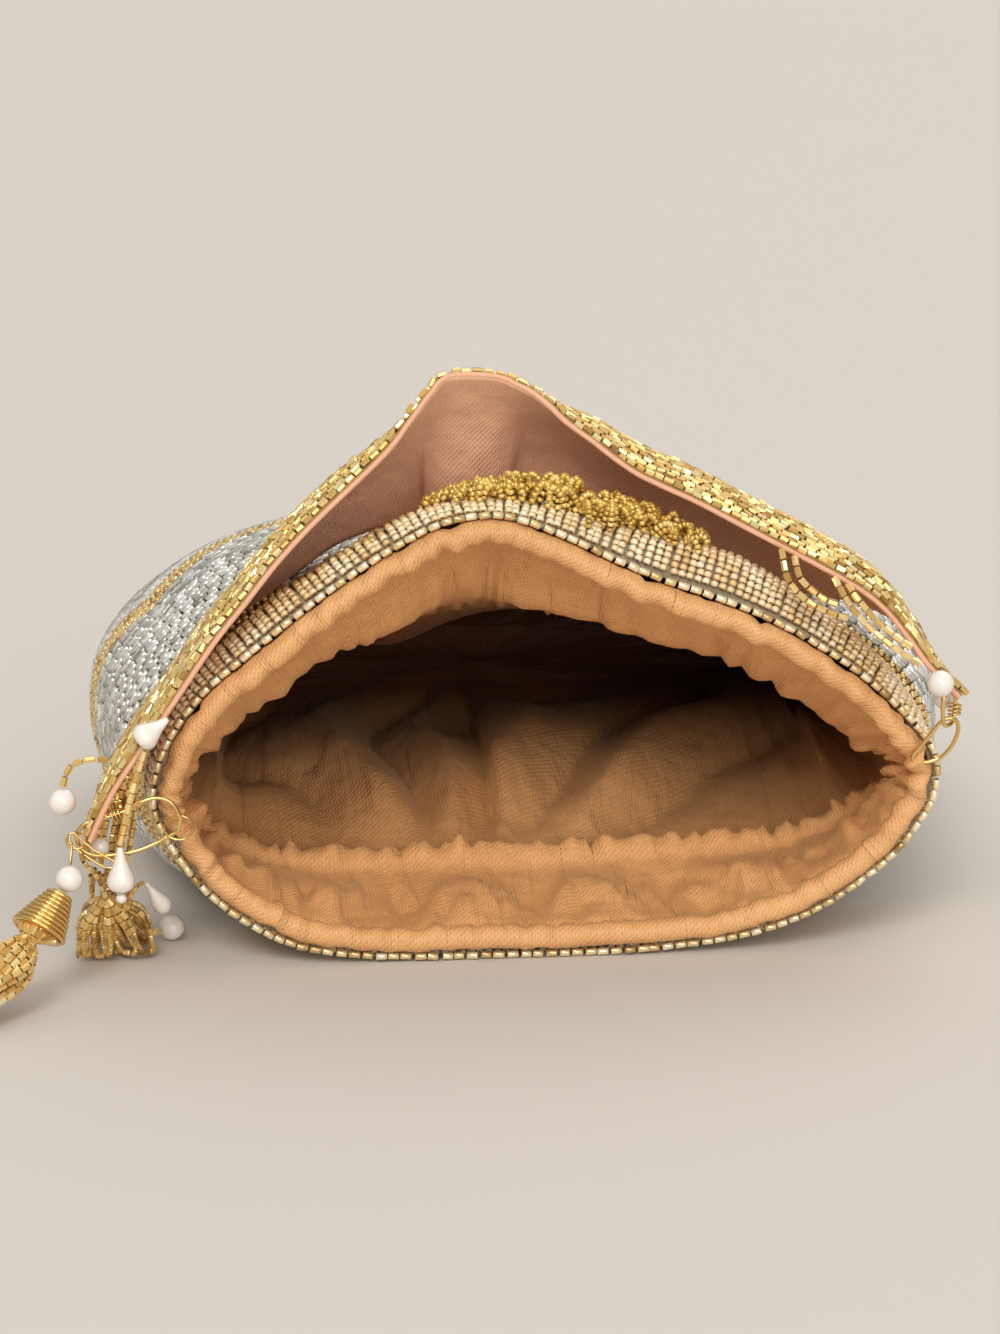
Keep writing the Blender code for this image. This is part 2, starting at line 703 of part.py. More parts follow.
def links():
    wire("left_link", left_link_points(), LINK_WIRE, GOLD_WIRE, True, HANDLE_PIVOT, smooth=24)
    wire("left_ring", circle_points(RING_CENTRE, RING_RADIUS, 16), RING_WIRE, GOLD_WIRE, True, RING_CENTRE)
    wire("charm_ring", circle_points(CHARM_CENTRE, CHARM_RING_RADIUS, 12), RING_WIRE, GOLD_WIRE, True,
         CHARM_CENTRE)
    wire("lower_right_link", lower_link_points(), LINK_WIRE, GOLD_WIRE, True, HANDLE_PIVOT, smooth=20)
    wire("upper_right_link", upper_link_points(), LINK_WIRE, GOLD_WIRE, True, HANDLE_PIVOT, smooth=18)


def coil(name, centre, direction, radius, pitch):
    """A few turns of thin wire wound round a link."""
    direction = np.array(direction, float) / np.linalg.norm(direction)
    side = np.cross(direction, (0, 1, 0))
    side /= np.linalg.norm(side)
    other = np.cross(direction, side)
    points = []
    for i in range(WRAP_TURNS * WRAP_SIDES + 1):
        turn = i / WRAP_SIDES * math.tau
        along = direction * (i / WRAP_SIDES - WRAP_TURNS / 2) * pitch
        points.append(centre + along + radius * (side * math.cos(turn) + other * math.sin(turn)))
    wire(name, points, WRAP_WIRE, GOLD_WIRE, origin=HANDLE_PIVOT)


def wraps():
    radius = LINK_WIRE + 2 * GAP + WRAP_WIRE
    left, right = left_link_points(), upper_link_points()
    coil("left_wrap", (left[12] + left[13] * 2) / 3, left[13] - left[12], radius, 2 * WRAP_WIRE + GAP)
    coil("right_wrap", (right[2] + right[3]) / 2, right[3] - right[2], radius, 2 * WRAP_WIRE + GAP)


def pearl(name, centre, radius, origin):
    bpy.ops.mesh.primitive_uv_sphere_add(segments=8, ring_count=6, radius=radius * MM, location=(0, 0, 0))
    obj = bpy.context.object
    obj.name = name
    for collection in list(obj.users_collection):
        collection.objects.unlink(obj)
    BAG.objects.link(obj)
    obj.data.materials.append(material(PEARL_LOOK))
    obj.data.shade_smooth()
    obj.data.transform(Matrix.Translation(world(centre) - world(origin)))
    obj.location = world(origin)


def turned(name, profile, look, foot, direction, steps):
    """A profile of radius and height in mm, turned round its axis and placed along a direction."""
    verts = [(r * MM, 0, h * MM) for r, h in profile]
    mesh = bpy.data.meshes.new(name)
    mesh.from_pydata(verts, [(i, i + 1) for i in range(len(verts) - 1)], [])
    mesh.materials.append(material(look))
    obj = bpy.data.objects.new(name, mesh)
    BAG.objects.link(obj)
    screw = obj.modifiers.new("turned", "SCREW")
    screw.steps = steps
    screw.render_steps = steps
    screw.use_merge_vertices = True
    screw.merge_threshold = 0.00001
    screw.use_smooth_shade = True
    turn = Vector((0, 0, 1)).rotation_difference(Vector(direction)).to_matrix().to_4x4()
    obj.matrix_world = Matrix.Translation(world(foot)) @ turn
    return obj


def teardrop(name, tip, foot, radius):
    """A turned drop whose narrow end is at the tip and whose round end is at the foot."""
    length = np.linalg.norm(tip - foot)
    profile = [(r * radius, h * length) for r, h in TEAR_PROFILE]
    return turned(name, profile, PEARL_LOOK, foot, tip - foot, TEAR_STEPS)


# Pearls sewn to the strap
LEFT_STRAP_TEAR_TIP = follow((-87.2, -12.6, 62.4))
LEFT_STRAP_TEAR_FOOT = follow((-94.0, -12.6, 57.2))
RIGHT_STRAP_PEARL = follow((87.0, -10.3 - PEARL - GAP, 66.6))
RIGHT_BACK_PEARL = follow((91.0, -1.1, 59.6))
ARC_PEARL = follow((-111.2, -4.5, 41.6))
LINK_PEARL = follow((-103.2, -3.85, 30.6))
TEAR_TOP = follow((-98.5, -11.2, 32.6))


def strap_pearls():
    drop = teardrop("left_strap_teardrop", LEFT_STRAP_TEAR_TIP, LEFT_STRAP_TEAR_FOOT, TEAR_RADIUS - 0.05)
    hang(drop, "handle_axis", HANDLE_PIVOT)
    pearl("right_strap_pearl", RIGHT_STRAP_PEARL, PEARL, HANDLE_PIVOT)
    pearl("right_back_pearl", RIGHT_BACK_PEARL, SMALL_PEARL, HANDLE_PIVOT)
    pearl("arc_pearl", ARC_PEARL, PEARL, HANDLE_PIVOT)
    pearl("link_pearl", LINK_PEARL, SMALL_PEARL, HANDLE_PIVOT)


def strap_strands():
    """Strands of tube beads sewn to the strap at the left, and looped over the collar at the right."""
    top = ARC_PEARL + np.array((0, 0, PEARL + GAP + 0.05))
    arc = [*(follow(p) for p in ((-100.5, -5.0, 51.2), (-105.4, -5.0, 51.4), (-109.4, -4.8, 49.6))), top]
    wire("arc_strand", arc, STRAND, GOLD_BEADS, origin=HANDLE_PIVOT, smooth=7)
    seat = np.array((0, -STRAND - STRAP_LINING / 2 - GAP, 0))
    drop = [near_edge_at(-92.6) + seat, follow((-95.2, -11.3, 46.5)), follow((-97.0, -11.4, 39.5)),
            TEAR_TOP + np.array((0, 0, GAP + 0.15))]
    wire("teardrop_strand", drop, STRAND, GOLD_BEADS, origin=HANDLE_PIVOT, smooth=8)
    for index, (start, points) in enumerate(RIGHT_STRANDS):
        line = [near_edge_at(start) + seat, *(follow(p) for p in points)]
        wire(f"right_strand_{index + 1}", line, STRAND, GOLD_BEADS, origin=HANDLE_PIVOT, smooth=8)


def near_edge_at(drawn_x):
    """The point of the strap's near edge that is drawn at this x."""
    rows = strap_rows()
    x = follow((drawn_x, 0, 0))[0]
    return np.array([np.interp(x, rows[:, 0], rows[:, k]) for k in range(3)])


def teardrop_charm():
    """The teardrop that swings in front of the long link, with a small pearl under it."""
    foot = TEAR_TOP - np.array((0, 0, TEAR_LENGTH))
    drop = teardrop("teardrop_charm", TEAR_TOP, foot, TEAR_RADIUS)
    hang(drop, "teardrop_axis", TEAR_TOP)
    pearl("teardrop_tip_pearl", foot - np.array((0, 0, 1.2 + GAP)), 1.2, TEAR_TOP)


def charm_ring_point(degrees):
    turn = math.radians(degrees)
    side = np.array((1, 0, 0)) * math.cos(turn) + RING_DIRECTION * math.sin(turn)
    return CHARM_CENTRE + CHARM_RING_RADIUS * side


# The tassel, hung from the charm ring's lower front
TASSEL_PIVOT = charm_ring_point(-118)
TASSEL_PEARL = TASSEL_PIVOT + np.array((-0.6, -4.2, -6.0))
TASSEL_LINE = np.array((-0.5, -0.5, -0.7)) / np.linalg.norm((-0.5, -0.5, -0.7))
CAP_TOP = TASSEL_PEARL + TASSEL_LINE * (PEARL + GAP + 0.1)
CAP_END = CAP_TOP + TASSEL_LINE * CAP_LENGTH


def tassel_eye():
    """A small wire loop that hangs on the charm ring and holds the tassel's pearl."""
    down = (TASSEL_PEARL - TASSEL_PIVOT) / np.linalg.norm(TASSEL_PEARL - TASSEL_PIVOT)
    side = np.cross((1, 0, 0), down)
    side /= np.linalg.norm(side)
    length = np.linalg.norm(TASSEL_PEARL - TASSEL_PIVOT) - PEARL - GAP - EYE_WIRE
    points = []
    for turn in np.arange(12) / 12 * math.tau:
        centre = 0 if math.cos(turn) < 0 else length - EYE_RADIUS
        ahead = down * (centre + EYE_RADIUS * math.cos(turn))
        points.append(TASSEL_PIVOT + ahead + side * EYE_RADIUS * math.sin(turn))
    wire("tassel_eye", points, EYE_WIRE, GOLD_WIRE, True, TASSEL_PIVOT)


def tassel_cap():
    """A cone of wound wire: each turn is one rib of the profile."""
    profile = [(0, CAP_LENGTH), (CAP_SMALL * 0.7, CAP_LENGTH)]
    for i in range(CAP_TURNS):
        share = (i + 0.5) / CAP_TURNS
        radius = CAP_SMALL + (CAP_LARGE - CAP_SMALL) * share
        height = CAP_LENGTH * (1 - share)
        profile.append((radius, height + 0.12 * CAP_LENGTH / CAP_TURNS))
        profile.append((radius - 0.35, height - 0.42 * CAP_LENGTH / CAP_TURNS))
    profile += [(CAP_LARGE - 0.9, 0), (0, 0)]
    cap = turned("tassel_cap", profile, GOLD_WIRE, CAP_END, CAP_TOP - CAP_END, CAP_STEPS)
    hang(cap, "tassel_axis", TASSEL_PIVOT)


def lobed_ring(centre, side, up, wide, high, lobes, groove):
    """A ring of strands seen end on, flattened where it meets the table."""
    ring = []
    for lobe in range(lobes * 2):
        turn = lobe / (lobes * 2) * math.tau
        depth = 1.0 if lobe % 2 else groove
        point = centre + depth * (side * wide * math.cos(turn) + up * high * math.sin(turn))
        ring.append((point[0], point[1], max(point[2], TABLE_CLEARANCE)))
    return ring


def tassel_skirt():
    """Strands that fan out from the cap and lie down on the table."""
    start = CAP_END + TASSEL_LINE * (GAP + 0.1)
    ahead = np.array((-0.74, -0.66, 0.0))
    ahead /= np.linalg.norm(ahead)
    side = np.array((-ahead[1], ahead[0], 0))
    bend = start + TASSEL_LINE * 6 + ahead * 2
    route = [start, bend]
    middle = (bend[2] + SKIRT_LEVEL) / 2 + 0.6
    for distance, height in ((9, middle), (20, SKIRT_LEVEL), (SKIRT_LENGTH - 8, SKIRT_LEVEL - 0.6)):
        route.append(np.array((*(bend + ahead * distance)[:2], height)))
    sizes = [(CAP_LARGE - 1.0, CAP_LARGE - 1.0), (5.8, 5.6), (7.2, 5.0), (9.0, 4.6), (10.5, 4.0)]
    rings = []
    for i, (centre, (wide, high)) in enumerate(zip(route, sizes)):
        forward = route[min(i + 1, len(route) - 1)] - route[max(i - 1, 0)]
        forward = forward / np.linalg.norm(forward) if i else TASSEL_LINE
        up = np.cross(forward, side)
        up /= np.linalg.norm(up)
        rings.append(lobed_ring(centre, side, up, wide, high, SKIRT_LOBES, 0.84))
    mesh = loft("tassel_skirt", rings, tips=[("first", route[0]), ("last", route[-1])])
    place("tassel_skirt", mesh, GOLD_BEADS, TASSEL_PIVOT)


# The bunch of loops under the strap's left end, hung from the charm ring's right front
BUNCH_PIVOT = charm_ring_point(-62)
BUNCH_SHIFT = np.array((LEFT_CORNER[0] - LEFT_CORNER_DRAWN[0], 0, 0))
TABLE_PEARL = np.array((-87.4, 20.0, PEARL)) + BUNCH_SHIFT
SIDE_TEAR_TIP = np.array((-93.0, 5.9, 18.6)) + BUNCH_SHIFT
SIDE_TEAR_FOOT = np.array((-88.6, 9.3, 10.8)) + BUNCH_SHIFT


def bunch_hanger():
    loose = [(-104.2, -6.2, 24.8), (-102.8, -3.4, 20.6), (-102.3, -2.15, 17.95)]
    line = [BUNCH_PIVOT + np.array((0, -0.96, -0.8)), BUNCH_PIVOT + np.array((0.6, -1.0, -3.2))]
    line += [np.array(p) + BUNCH_SHIFT for p in loose]
    wire("bunch_hanger", line, THIN_STRAND, GOLD_BEADS, origin=BUNCH_PIVOT, smooth=8)


def loop_bunch():
    """The gathered loops, lying on the table."""
    route = [
        (-102.3, -1.8, 17.6), (-102.0, 3.0, 12.8), (-101.4, 9.5, 8.2), (-100.6, 16.0, 5.6),
        (-99.8, 22.0, 4.4),
    ]
    route = [np.array(p) + BUNCH_SHIFT for p in route]
    rings = []
    for i, (centre, size) in enumerate(zip(route, (1.6, 3.6, 5.4, 5.6, 3.6))):
        forward = route[min(i + 1, len(route) - 1)] - route[max(i - 1, 0)]
        forward /= np.linalg.norm(forward)
        side = np.array((1, 0, 0)) - forward * forward[0]
        side /= np.linalg.norm(side)
        rings.append(lobed_ring(centre, side, np.cross(forward, side), size, 0.85 * size, BUNCH_LOBES, 0.8))
    mesh = loft("loop_bunch", rings, tips=[("first", route[0]), ("last", route[-1])])
    place("loop_bunch", mesh, GOLD_BEADS, BUNCH_PIVOT)


def table_charm():
    """A strand from the bunch to a pearl that lies on the table."""
    offsets = ((-8.0, -9.0, 1.45), (-5.4, -5.4, 0.35), (-2.67, -2.1, 0.1))
    strand = [TABLE_PEARL + np.array(p) for p in offsets]
    wire("table_pearl_strand", strand, STRAND, GOLD_BEADS, origin=BUNCH_PIVOT, smooth=5)
    pearl("table_pearl", TABLE_PEARL, PEARL, BUNCH_PIVOT)


def side_charm():
    """A strand from the bunch to a small drop that leans on the body."""
    offsets = ((-5.0, -1.3, -5.2), (-3.3, -1.1, -2.0), (-1.8, -0.7, -0.2), (-0.5, -0.2, 0.3))
    strand = [SIDE_TEAR_TIP + np.array(p) for p in offsets]
    wire("side_strand", strand, THIN_STRAND, GOLD_BEADS, origin=BUNCH_PIVOT, smooth=6)
    drop = teardrop("side_teardrop", SIDE_TEAR_TIP, SIDE_TEAR_FOOT, SMALL_PEARL)
    hang(drop, "bunch_axis", BUNCH_PIVOT)


def build():
    bag_shell()
    lining()
    rim_edging()
    bead_loop_ruffle()
    strap_lining()
    strap_beadwork()
    links()
    wraps()
    strap_pearls()
    strap_strands()
    teardrop_charm()
    tassel_eye()
    pearl("tassel_pearl", TASSEL_PEARL, PEARL, TASSEL_PIVOT)
    tassel_cap()
    tassel_skirt()
    bunch_hanger()
    loop_bunch()
    table_charm()
    side_charm()


build()
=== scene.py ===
import math

import bpy
import numpy as np
from mathutils import Matrix, Vector, noise

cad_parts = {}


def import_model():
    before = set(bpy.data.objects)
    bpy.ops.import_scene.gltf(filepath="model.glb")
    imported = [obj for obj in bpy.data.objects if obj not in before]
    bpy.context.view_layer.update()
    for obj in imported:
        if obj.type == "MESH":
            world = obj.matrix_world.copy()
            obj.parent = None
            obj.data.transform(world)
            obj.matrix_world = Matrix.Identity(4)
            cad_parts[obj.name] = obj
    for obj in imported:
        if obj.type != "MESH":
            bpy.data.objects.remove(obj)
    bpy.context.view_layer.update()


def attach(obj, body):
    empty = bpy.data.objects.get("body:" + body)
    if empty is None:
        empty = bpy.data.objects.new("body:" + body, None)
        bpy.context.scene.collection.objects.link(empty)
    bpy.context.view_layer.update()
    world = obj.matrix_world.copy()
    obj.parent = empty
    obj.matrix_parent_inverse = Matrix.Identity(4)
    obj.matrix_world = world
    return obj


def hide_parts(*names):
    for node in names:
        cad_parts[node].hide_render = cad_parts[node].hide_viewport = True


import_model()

MM = 0.001

# The bag's own form, in mm: X across, Y behind the mouth, Z up
MOUTH_Y = -118.0
BODY_POINTS = 38
FINE = 12
MOUTH_OUTLINE = [
    (-6, 0), (-52, 2), (-75, 13), (-88, 29), (-92, 43), (-85, 60), (-70.5, 74),
    (-47, 92), (-28, 103), (-15, 106), (0, 102), (21, 92), (45, 83), (63.5, 73),
    (80, 60), (90.5, 46), (88, 31), (75, 17), (56, 6), (30, 1),
]
PILLOW_OUTLINE = [
    (-0.06, 0), (-0.35, 0), (-0.66, 0), (-0.90, 0.12), (-1.0, 0.38), (-0.95, 0.64),
    (-0.72, 0.86), (-0.38, 0.97), (0, 1.0), (0.38, 0.97), (0.72, 0.86),
    (0.95, 0.64), (1.0, 0.38), (0.90, 0.12), (0.66, 0), (0.35, 0),
]
# Distance behind the mouth, half width, height and lift from the table
STATIONS = [
    (0, 92, 106, 0), (3.5, 92.2, 105.5, 0), (7, 92.5, 104.5, 0), (13, 93, 102.5, 0), (23, 94.5, 97.5, 0),
    (34, 98, 98, 0), (54, 102, 97.5, 0), (90, 106.5, 93, 0),
    (132, 104, 81, 0), (155, 98, 69, 1), (176, 86, 53, 4), (194, 67, 35, 8),
    (206, 45, 22, 12), (214, 22, 9, 16),
]
# How far the collar stands out from the mouth's upper edge: by place along it, and as a share of
# that by distance behind the mouth
COLLAR_FLARE = [
    (-90, 0), (-84, 2.6), (-60, 4.8), (-35, 4.2), (-12, 3.0), (8, 5.8), (22, 8.8), (40, 9.6),
    (58, 7.0), (75, 4.8), (86, 2.2), (90, 0),
]
COLLAR_SHARE = [
    (0, 0), (1.5, 0.3), (3.5, 0.66), (5, 0.86), (7, 1.0), (9.5, 1.0), (13, 0.8), (18, 0.34), (23, 0),
]
# The strap's near edge: place, share of the full width, and slopes in degrees at both edges
STRAP_EDGE = [
    (-104.9, -9.4, 33.4, 0.13, 0, 0), (-103.2, -9.4, 38.6, 0.16, 0, 5),
    (-99.5, -9.3, 44.6, 0.38, 0, 6), (-92.0, -8.6, 55.5, 0.72, 4, -4),
    (-84.5, -7.5, 66.0, 0.94, 8, -18), (-77.2, -5.5, 76.4, 1.0, 12, -30),
    (-69.0, -3.5, 86.2, 1.0, 14, -42), (-58.6, -1.0, 98.4, 1.0, 16, -55),
    (-46.5, 1.5, 109.6, 1.0, 16, -64), (-36.8, 4.5, 118.2, 1.0, 8, -70),
    (-30.5, 8.0, 125.6, 0.96, -12, -77), (-24.5, 11.0, 132.4, 0.9, -38, -78),
    (-19.5, 12.5, 134.8, 0.88, -48, -78), (-12.0, 12.0, 133.8, 0.9, -42, -78),
    (-3.0, 9.5, 129.8, 0.96, -12, -77), (3.0, 6.5, 124.4, 1.0, 12, -76),
    (10.0, 4.0, 119.4, 1.0, 26, -75), (18.0, 2.5, 113.4, 1.0, 32, -75),
    (33.0, 1.0, 106.2, 1.0, 35, -75), (51.5, -0.5, 96.3, 1.0, 35, -75),
    (64.0, -2.5, 89.8, 1.0, 35, -72), (73.5, -5.0, 83.6, 0.92, 30, -55),
    (79.5, -7.5, 76.8, 0.7, 22, -25), (84.0, -9.3, 70.6, 0.42, 10, 5),
    (87.5, -10.6, 66.6, 0.24, 0, 5), (92.0, -11.0, 62.2, 0.18, 0, 0),
]
STRAP_WIDTH = 38.0
STRAP_STEPS = 32
STRAP_COLUMNS = 5
STRAP_CROWN_X = -17.0
STRAP_CROWN_SPREAD = 17.0
STRAP_SAG = 5.5
LEFT_CORNER = np.array((-90.2, 35.0))
RIGHT_CORNER = np.array((90.4, 45.6))
CORNER_SPREAD = 9.0
CORNER_PULL = 1.7
MOUTH_HALF_WIDTH = 92.0
MOUTH_HEIGHT = 106.0
# Distance behind the mouth where its outline starts to turn into the pillow's, and over how far
PILLOW_START = 3
PILLOW_REACH = 60
# Height at which the collar starts to stand out, and over how far
COLLAR_FOOT = 40
COLLAR_BLEND = 14
# Small steps for directions on the skin: a share round it and mm behind the mouth
SHARE_STEP = 2e-3
SKIN_STEP = 0.6
HEM_DEPTH = 3.4
HEM_WIDTH = 3.7

# Camera and light
CAMERA_AZIMUTH = -6.0
CAMERA_ELEVATION = 14.0
CAMERA_ROLL = 0.15
CAMERA_DISTANCE = 750.0
CAMERA_TARGET = (-11.9, 0.0, 69.4)
CAMERA_LENS = 89.1
SENSOR_WIDTH = 36.0
FLOOR_SIZE = 80.0
# Name, direction, strength, spread in degrees and colour
SUNS = [
    ("key", (-0.32, -0.85, 0.82), 1.35, 24.0, (1.0, 0.97, 0.93)),
    ("back", (0.5, 0.6, 1.0), 0.6, 50.0, (1.0, 0.98, 0.96)),
    ("fill", (0.22, -1.0, 0.3), 0.95, 40.0, (1.0, 0.96, 0.92)),
]
SKY_LOW = (0.30, 0.27, 0.24)
SKY_HIGH = (1.0, 0.98, 0.95)
BACKDROP = (1.0, 0.92, 0.82)
SKY_STRENGTH = 0.62


def catmull_rom(points, closed, steps):
    """Points of a smooth curve through the given ones, `steps` to each span."""
    points = np.array(points, float)
    count = len(points)
    spans = count if closed else count - 1
    out = []
    for i in range(spans):
        if closed:
            p0, p1, p2, p3 = (points[(i + k) % count] for k in (-1, 0, 1, 2))
        else:
            p1, p2 = points[i], points[i + 1]
            p0 = points[i - 1] if i else 2 * p1 - p2
            p3 = points[i + 2] if i + 2 < count else 2 * p2 - p1
        t = (np.arange(steps) / steps)[:, None]
        out.append(0.5 * (2 * p1 + (p2 - p0) * t + (2 * p0 - 5 * p1 + 4 * p2 - p3) * t**2
                          + (3 * p1 - p0 - 3 * p2 + p3) * t**3))
    line = np.vstack(out)
    return line if closed else np.vstack([line, points[-1:]])


def spread(points, count, closed, weight=None):
    """Takes `count` points along a dense line, closer together where weight is high."""
    if closed:
        points = np.vstack([points, points[:1]])
    lengths = np.linalg.norm(np.diff(points, axis=0), axis=1)
    if weight is not None:
        lengths = lengths * weight((points[1:] + points[:-1]) / 2)
    along = np.concatenate([[0], np.cumsum(lengths)])
    wanted = np.linspace(0, along[-1], count + 1 if closed else count)
    taken = np.array([np.interp(wanted, along, points[:, k]) for k in range(points.shape[1])]).T
    return taken[:-1] if closed else taken


def near_corners(points, reach=CORNER_SPREAD):
    """How near points lie to the mouth's two corners."""
    return sum(np.exp(-((np.linalg.norm(points - corner, axis=-1) / reach) ** 2))
               for corner in (LEFT_CORNER, RIGHT_CORNER))


def corner_weight(points):
    return 1 + CORNER_PULL * near_corners(points)


def outline_loop(outline, weight=None):
    """An outline's points as the solid has them, made finer, none under the table."""
    dense = catmull_rom(outline, True, FINE)
    dense[:, 1] = np.maximum(dense[:, 1], 0)
    fine = catmull_rom(spread(dense, BODY_POINTS, True, weight), True, FINE)
    fine[:, 1] = np.maximum(fine[:, 1], 0)
    return fine


MOUTH_LOOP = outline_loop(MOUTH_OUTLINE, corner_weight)
PILLOW_LOOP = outline_loop(PILLOW_OUTLINE)
STATION_LINE = catmull_rom(STATIONS, False, 8)


def smooth_step(value):
    value = np.clip(value, 0, 1)
    return value * value * (3 - 2 * value)


def loop_at(loop, s):
    """A point of a closed loop at a share s of its own parameter."""
    place = (s % 1.0) * len(loop)
    low = np.floor(place).astype(int)
    part = (place - low)[..., None]
    return loop[low % len(loop)] * (1 - part) + loop[(low + 1) % len(loop)] * part


def plain_point(s, y):
    """The bag's skin without its flared collar, at a share s round it and y mm behind its mouth."""
    s, y = np.broadcast_arrays(np.asarray(s, float), np.asarray(y, float))
    width, height, lift = (np.interp(y, STATION_LINE[:, 0], STATION_LINE[:, k]) for k in (1, 2, 3))
    mouth = loop_at(MOUTH_LOOP, s) * np.stack([width / MOUTH_HALF_WIDTH, height / MOUTH_HEIGHT], axis=-1)
    pillow = loop_at(PILLOW_LOOP, s) * np.stack([width, height], axis=-1)
    share = smooth_step((y - PILLOW_START) / PILLOW_REACH)[..., None]
    flat = mouth * (1 - share) + pillow * share
    return np.stack([flat[..., 0], y, flat[..., 1] + lift], axis=-1)


def run_of(points):
    """Lengths along a line of points, or along the rows of a grid on average."""
    steps = np.linalg.norm(np.diff(points, axis=0), axis=-1)
    return np.concatenate([[0], np.cumsum(steps if steps.ndim == 1 else steps.mean(axis=1))])


def unit(vectors):
    return vectors / np.maximum(np.linalg.norm(vectors, axis=-1, keepdims=True), 1e-9)


def table_at(table, place):
    return np.interp(place, *np.transpose(table))


def body_point(s, y):
    """The outer skin of the bag, with the collar standing out round its upper half."""
    point = plain_point(s, y)
    round_it = plain_point(s + SHARE_STEP, y) - plain_point(s - SHARE_STEP, y)
    outward = unit(np.stack([-round_it[..., 2], 0 * round_it[..., 1], round_it[..., 0]], axis=-1))
    reach = table_at(COLLAR_FLARE, point[..., 0]) * table_at(COLLAR_SHARE, y)
    upper = smooth_step((point[..., 2] - COLLAR_FOOT) / COLLAR_BLEND)
    return point + outward * (reach * upper)[..., None]


def body_normal(s, y, skin=body_point):
    """The outward normal of the skin."""
    s, y = np.broadcast_arrays(np.asarray(s, float), np.asarray(y, float))
    round_it = skin(s + SHARE_STEP, y) - skin(s - SHARE_STEP, y)
    back = skin(s, y + SKIN_STEP) - skin(s, np.maximum(y - SKIN_STEP, 0))
    return unit(np.cross(round_it, back))


def world(points):
    """Points in mm behind the mouth, in the object's metres."""
    return (np.asarray(points, float) + (0, MOUTH_Y, 0)) * MM


def share_at(x):
    """The share round the mouth where its upper edge lies at x."""
    s = np.arange(0, 1, 0.0005)
    loop = loop_at(MOUTH_LOOP, s)
    keep = loop[:, 1] > 50
    return float(s[keep][np.argmin(np.abs(loop[keep, 0] - x))])


# Making objects
def deselect():
    for obj in list(bpy.context.selected_objects):
        obj.select_set(False)


def new_object(name, mesh, look, body, replaces=()):
    """A piece with one material, given its body and the solids it stands for."""
    obj = bpy.data.objects.new(name, mesh)
    mesh.materials.clear()
    mesh.materials.append(look)
    bpy.context.scene.collection.objects.link(obj)
    dress(obj, body, replaces)
    return obj


def dress(obj, body, replaces=()):
    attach(obj, body)
    if replaces:
        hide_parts(*replaces)


def only(obj):
    """Leaves one object selected and active."""
    deselect()
    bpy.context.view_layer.objects.active = obj
    obj.select_set(True)


def edit(obj, action):
    """Runs an edit-mode step on one object, with nothing else selected."""
    only(obj)
    bpy.ops.object.mode_set(mode="EDIT")
    action()
    bpy.ops.object.mode_set(mode="OBJECT")


def take_mesh(obj):
    """The finished mesh of a helper object, as numbers; the helper goes."""
    mesh = obj.data
    co = np.zeros(len(mesh.vertices) * 3)
    mesh.vertices.foreach_get("co", co)
    co = co.reshape(-1, 3) @ np.array(obj.matrix_world.to_3x3()).T + np.array(obj.matrix_world.translation)
    sizes = np.array([len(p.vertices) for p in mesh.polygons])
    corners = np.concatenate([list(p.vertices) for p in mesh.polygons])
    ends = np.array([1.0 if abs(p.normal.z) > 0.95 else 0.0 for p in mesh.polygons])
    bpy.data.objects.remove(obj)
    return {"co": co, "sizes": sizes, "corners": corners, "ends": ends}


def tube_bead(radius, length, sides, chamfer=0.0):
    """One tube bead along Z: a cylinder whose end faces are inset and drawn out to a chamfer."""
    deselect()
    bpy.ops.mesh.primitive_cylinder_add(vertices=sides, radius=radius * MM, depth=(length - 2 * chamfer) * MM)
    obj = bpy.context.object

    def draw_out_ends():
        bpy.ops.mesh.select_mode(type="FACE")
        bpy.ops.mesh.select_all(action="DESELECT")
        bpy.ops.object.mode_set(mode="OBJECT")
        for face in obj.data.polygons:
            face.select = abs(face.normal.z) > 0.9
        bpy.ops.object.mode_set(mode="EDIT")
        bpy.ops.mesh.inset(thickness=chamfer * MM, depth=chamfer * MM, use_individual=True)

    if chamfer:
        edit(obj, draw_out_ends)
    return take_mesh(obj)


def ball(radius, segments, rings):
    deselect()
    bpy.ops.mesh.primitive_uv_sphere_add(segments=segments, ring_count=rings, radius=radius * MM)
    return take_mesh(bpy.context.object)


def build_mesh(name, co, corners, sizes, smooth=True):
    """A mesh from points in metres, the corners of its faces and how many each face has."""
    mesh = bpy.data.meshes.new(name)
    mesh.vertices.add(len(co))
    mesh.vertices.foreach_set("co", co.astype(np.float32).ravel())
    mesh.loops.add(len(corners))
    mesh.loops.foreach_set("vertex_index", corners.astype(np.int32))
    mesh.polygons.add(len(sizes))
    mesh.polygons.foreach_set("loop_start", np.concatenate([[0], np.cumsum(sizes)[:-1]]).astype(np.int32))
    mesh.polygons.foreach_set("loop_total", sizes.astype(np.int32))
    mesh.polygons.foreach_set("use_smooth", np.full(len(sizes), smooth))
    mesh.update(calc_edges=True)
    return mesh


def mark(mesh, name, values, domain="POINT"):
    mesh.attributes.new(name, "FLOAT", domain).data.foreach_set("value", np.asarray(values, np.float32))


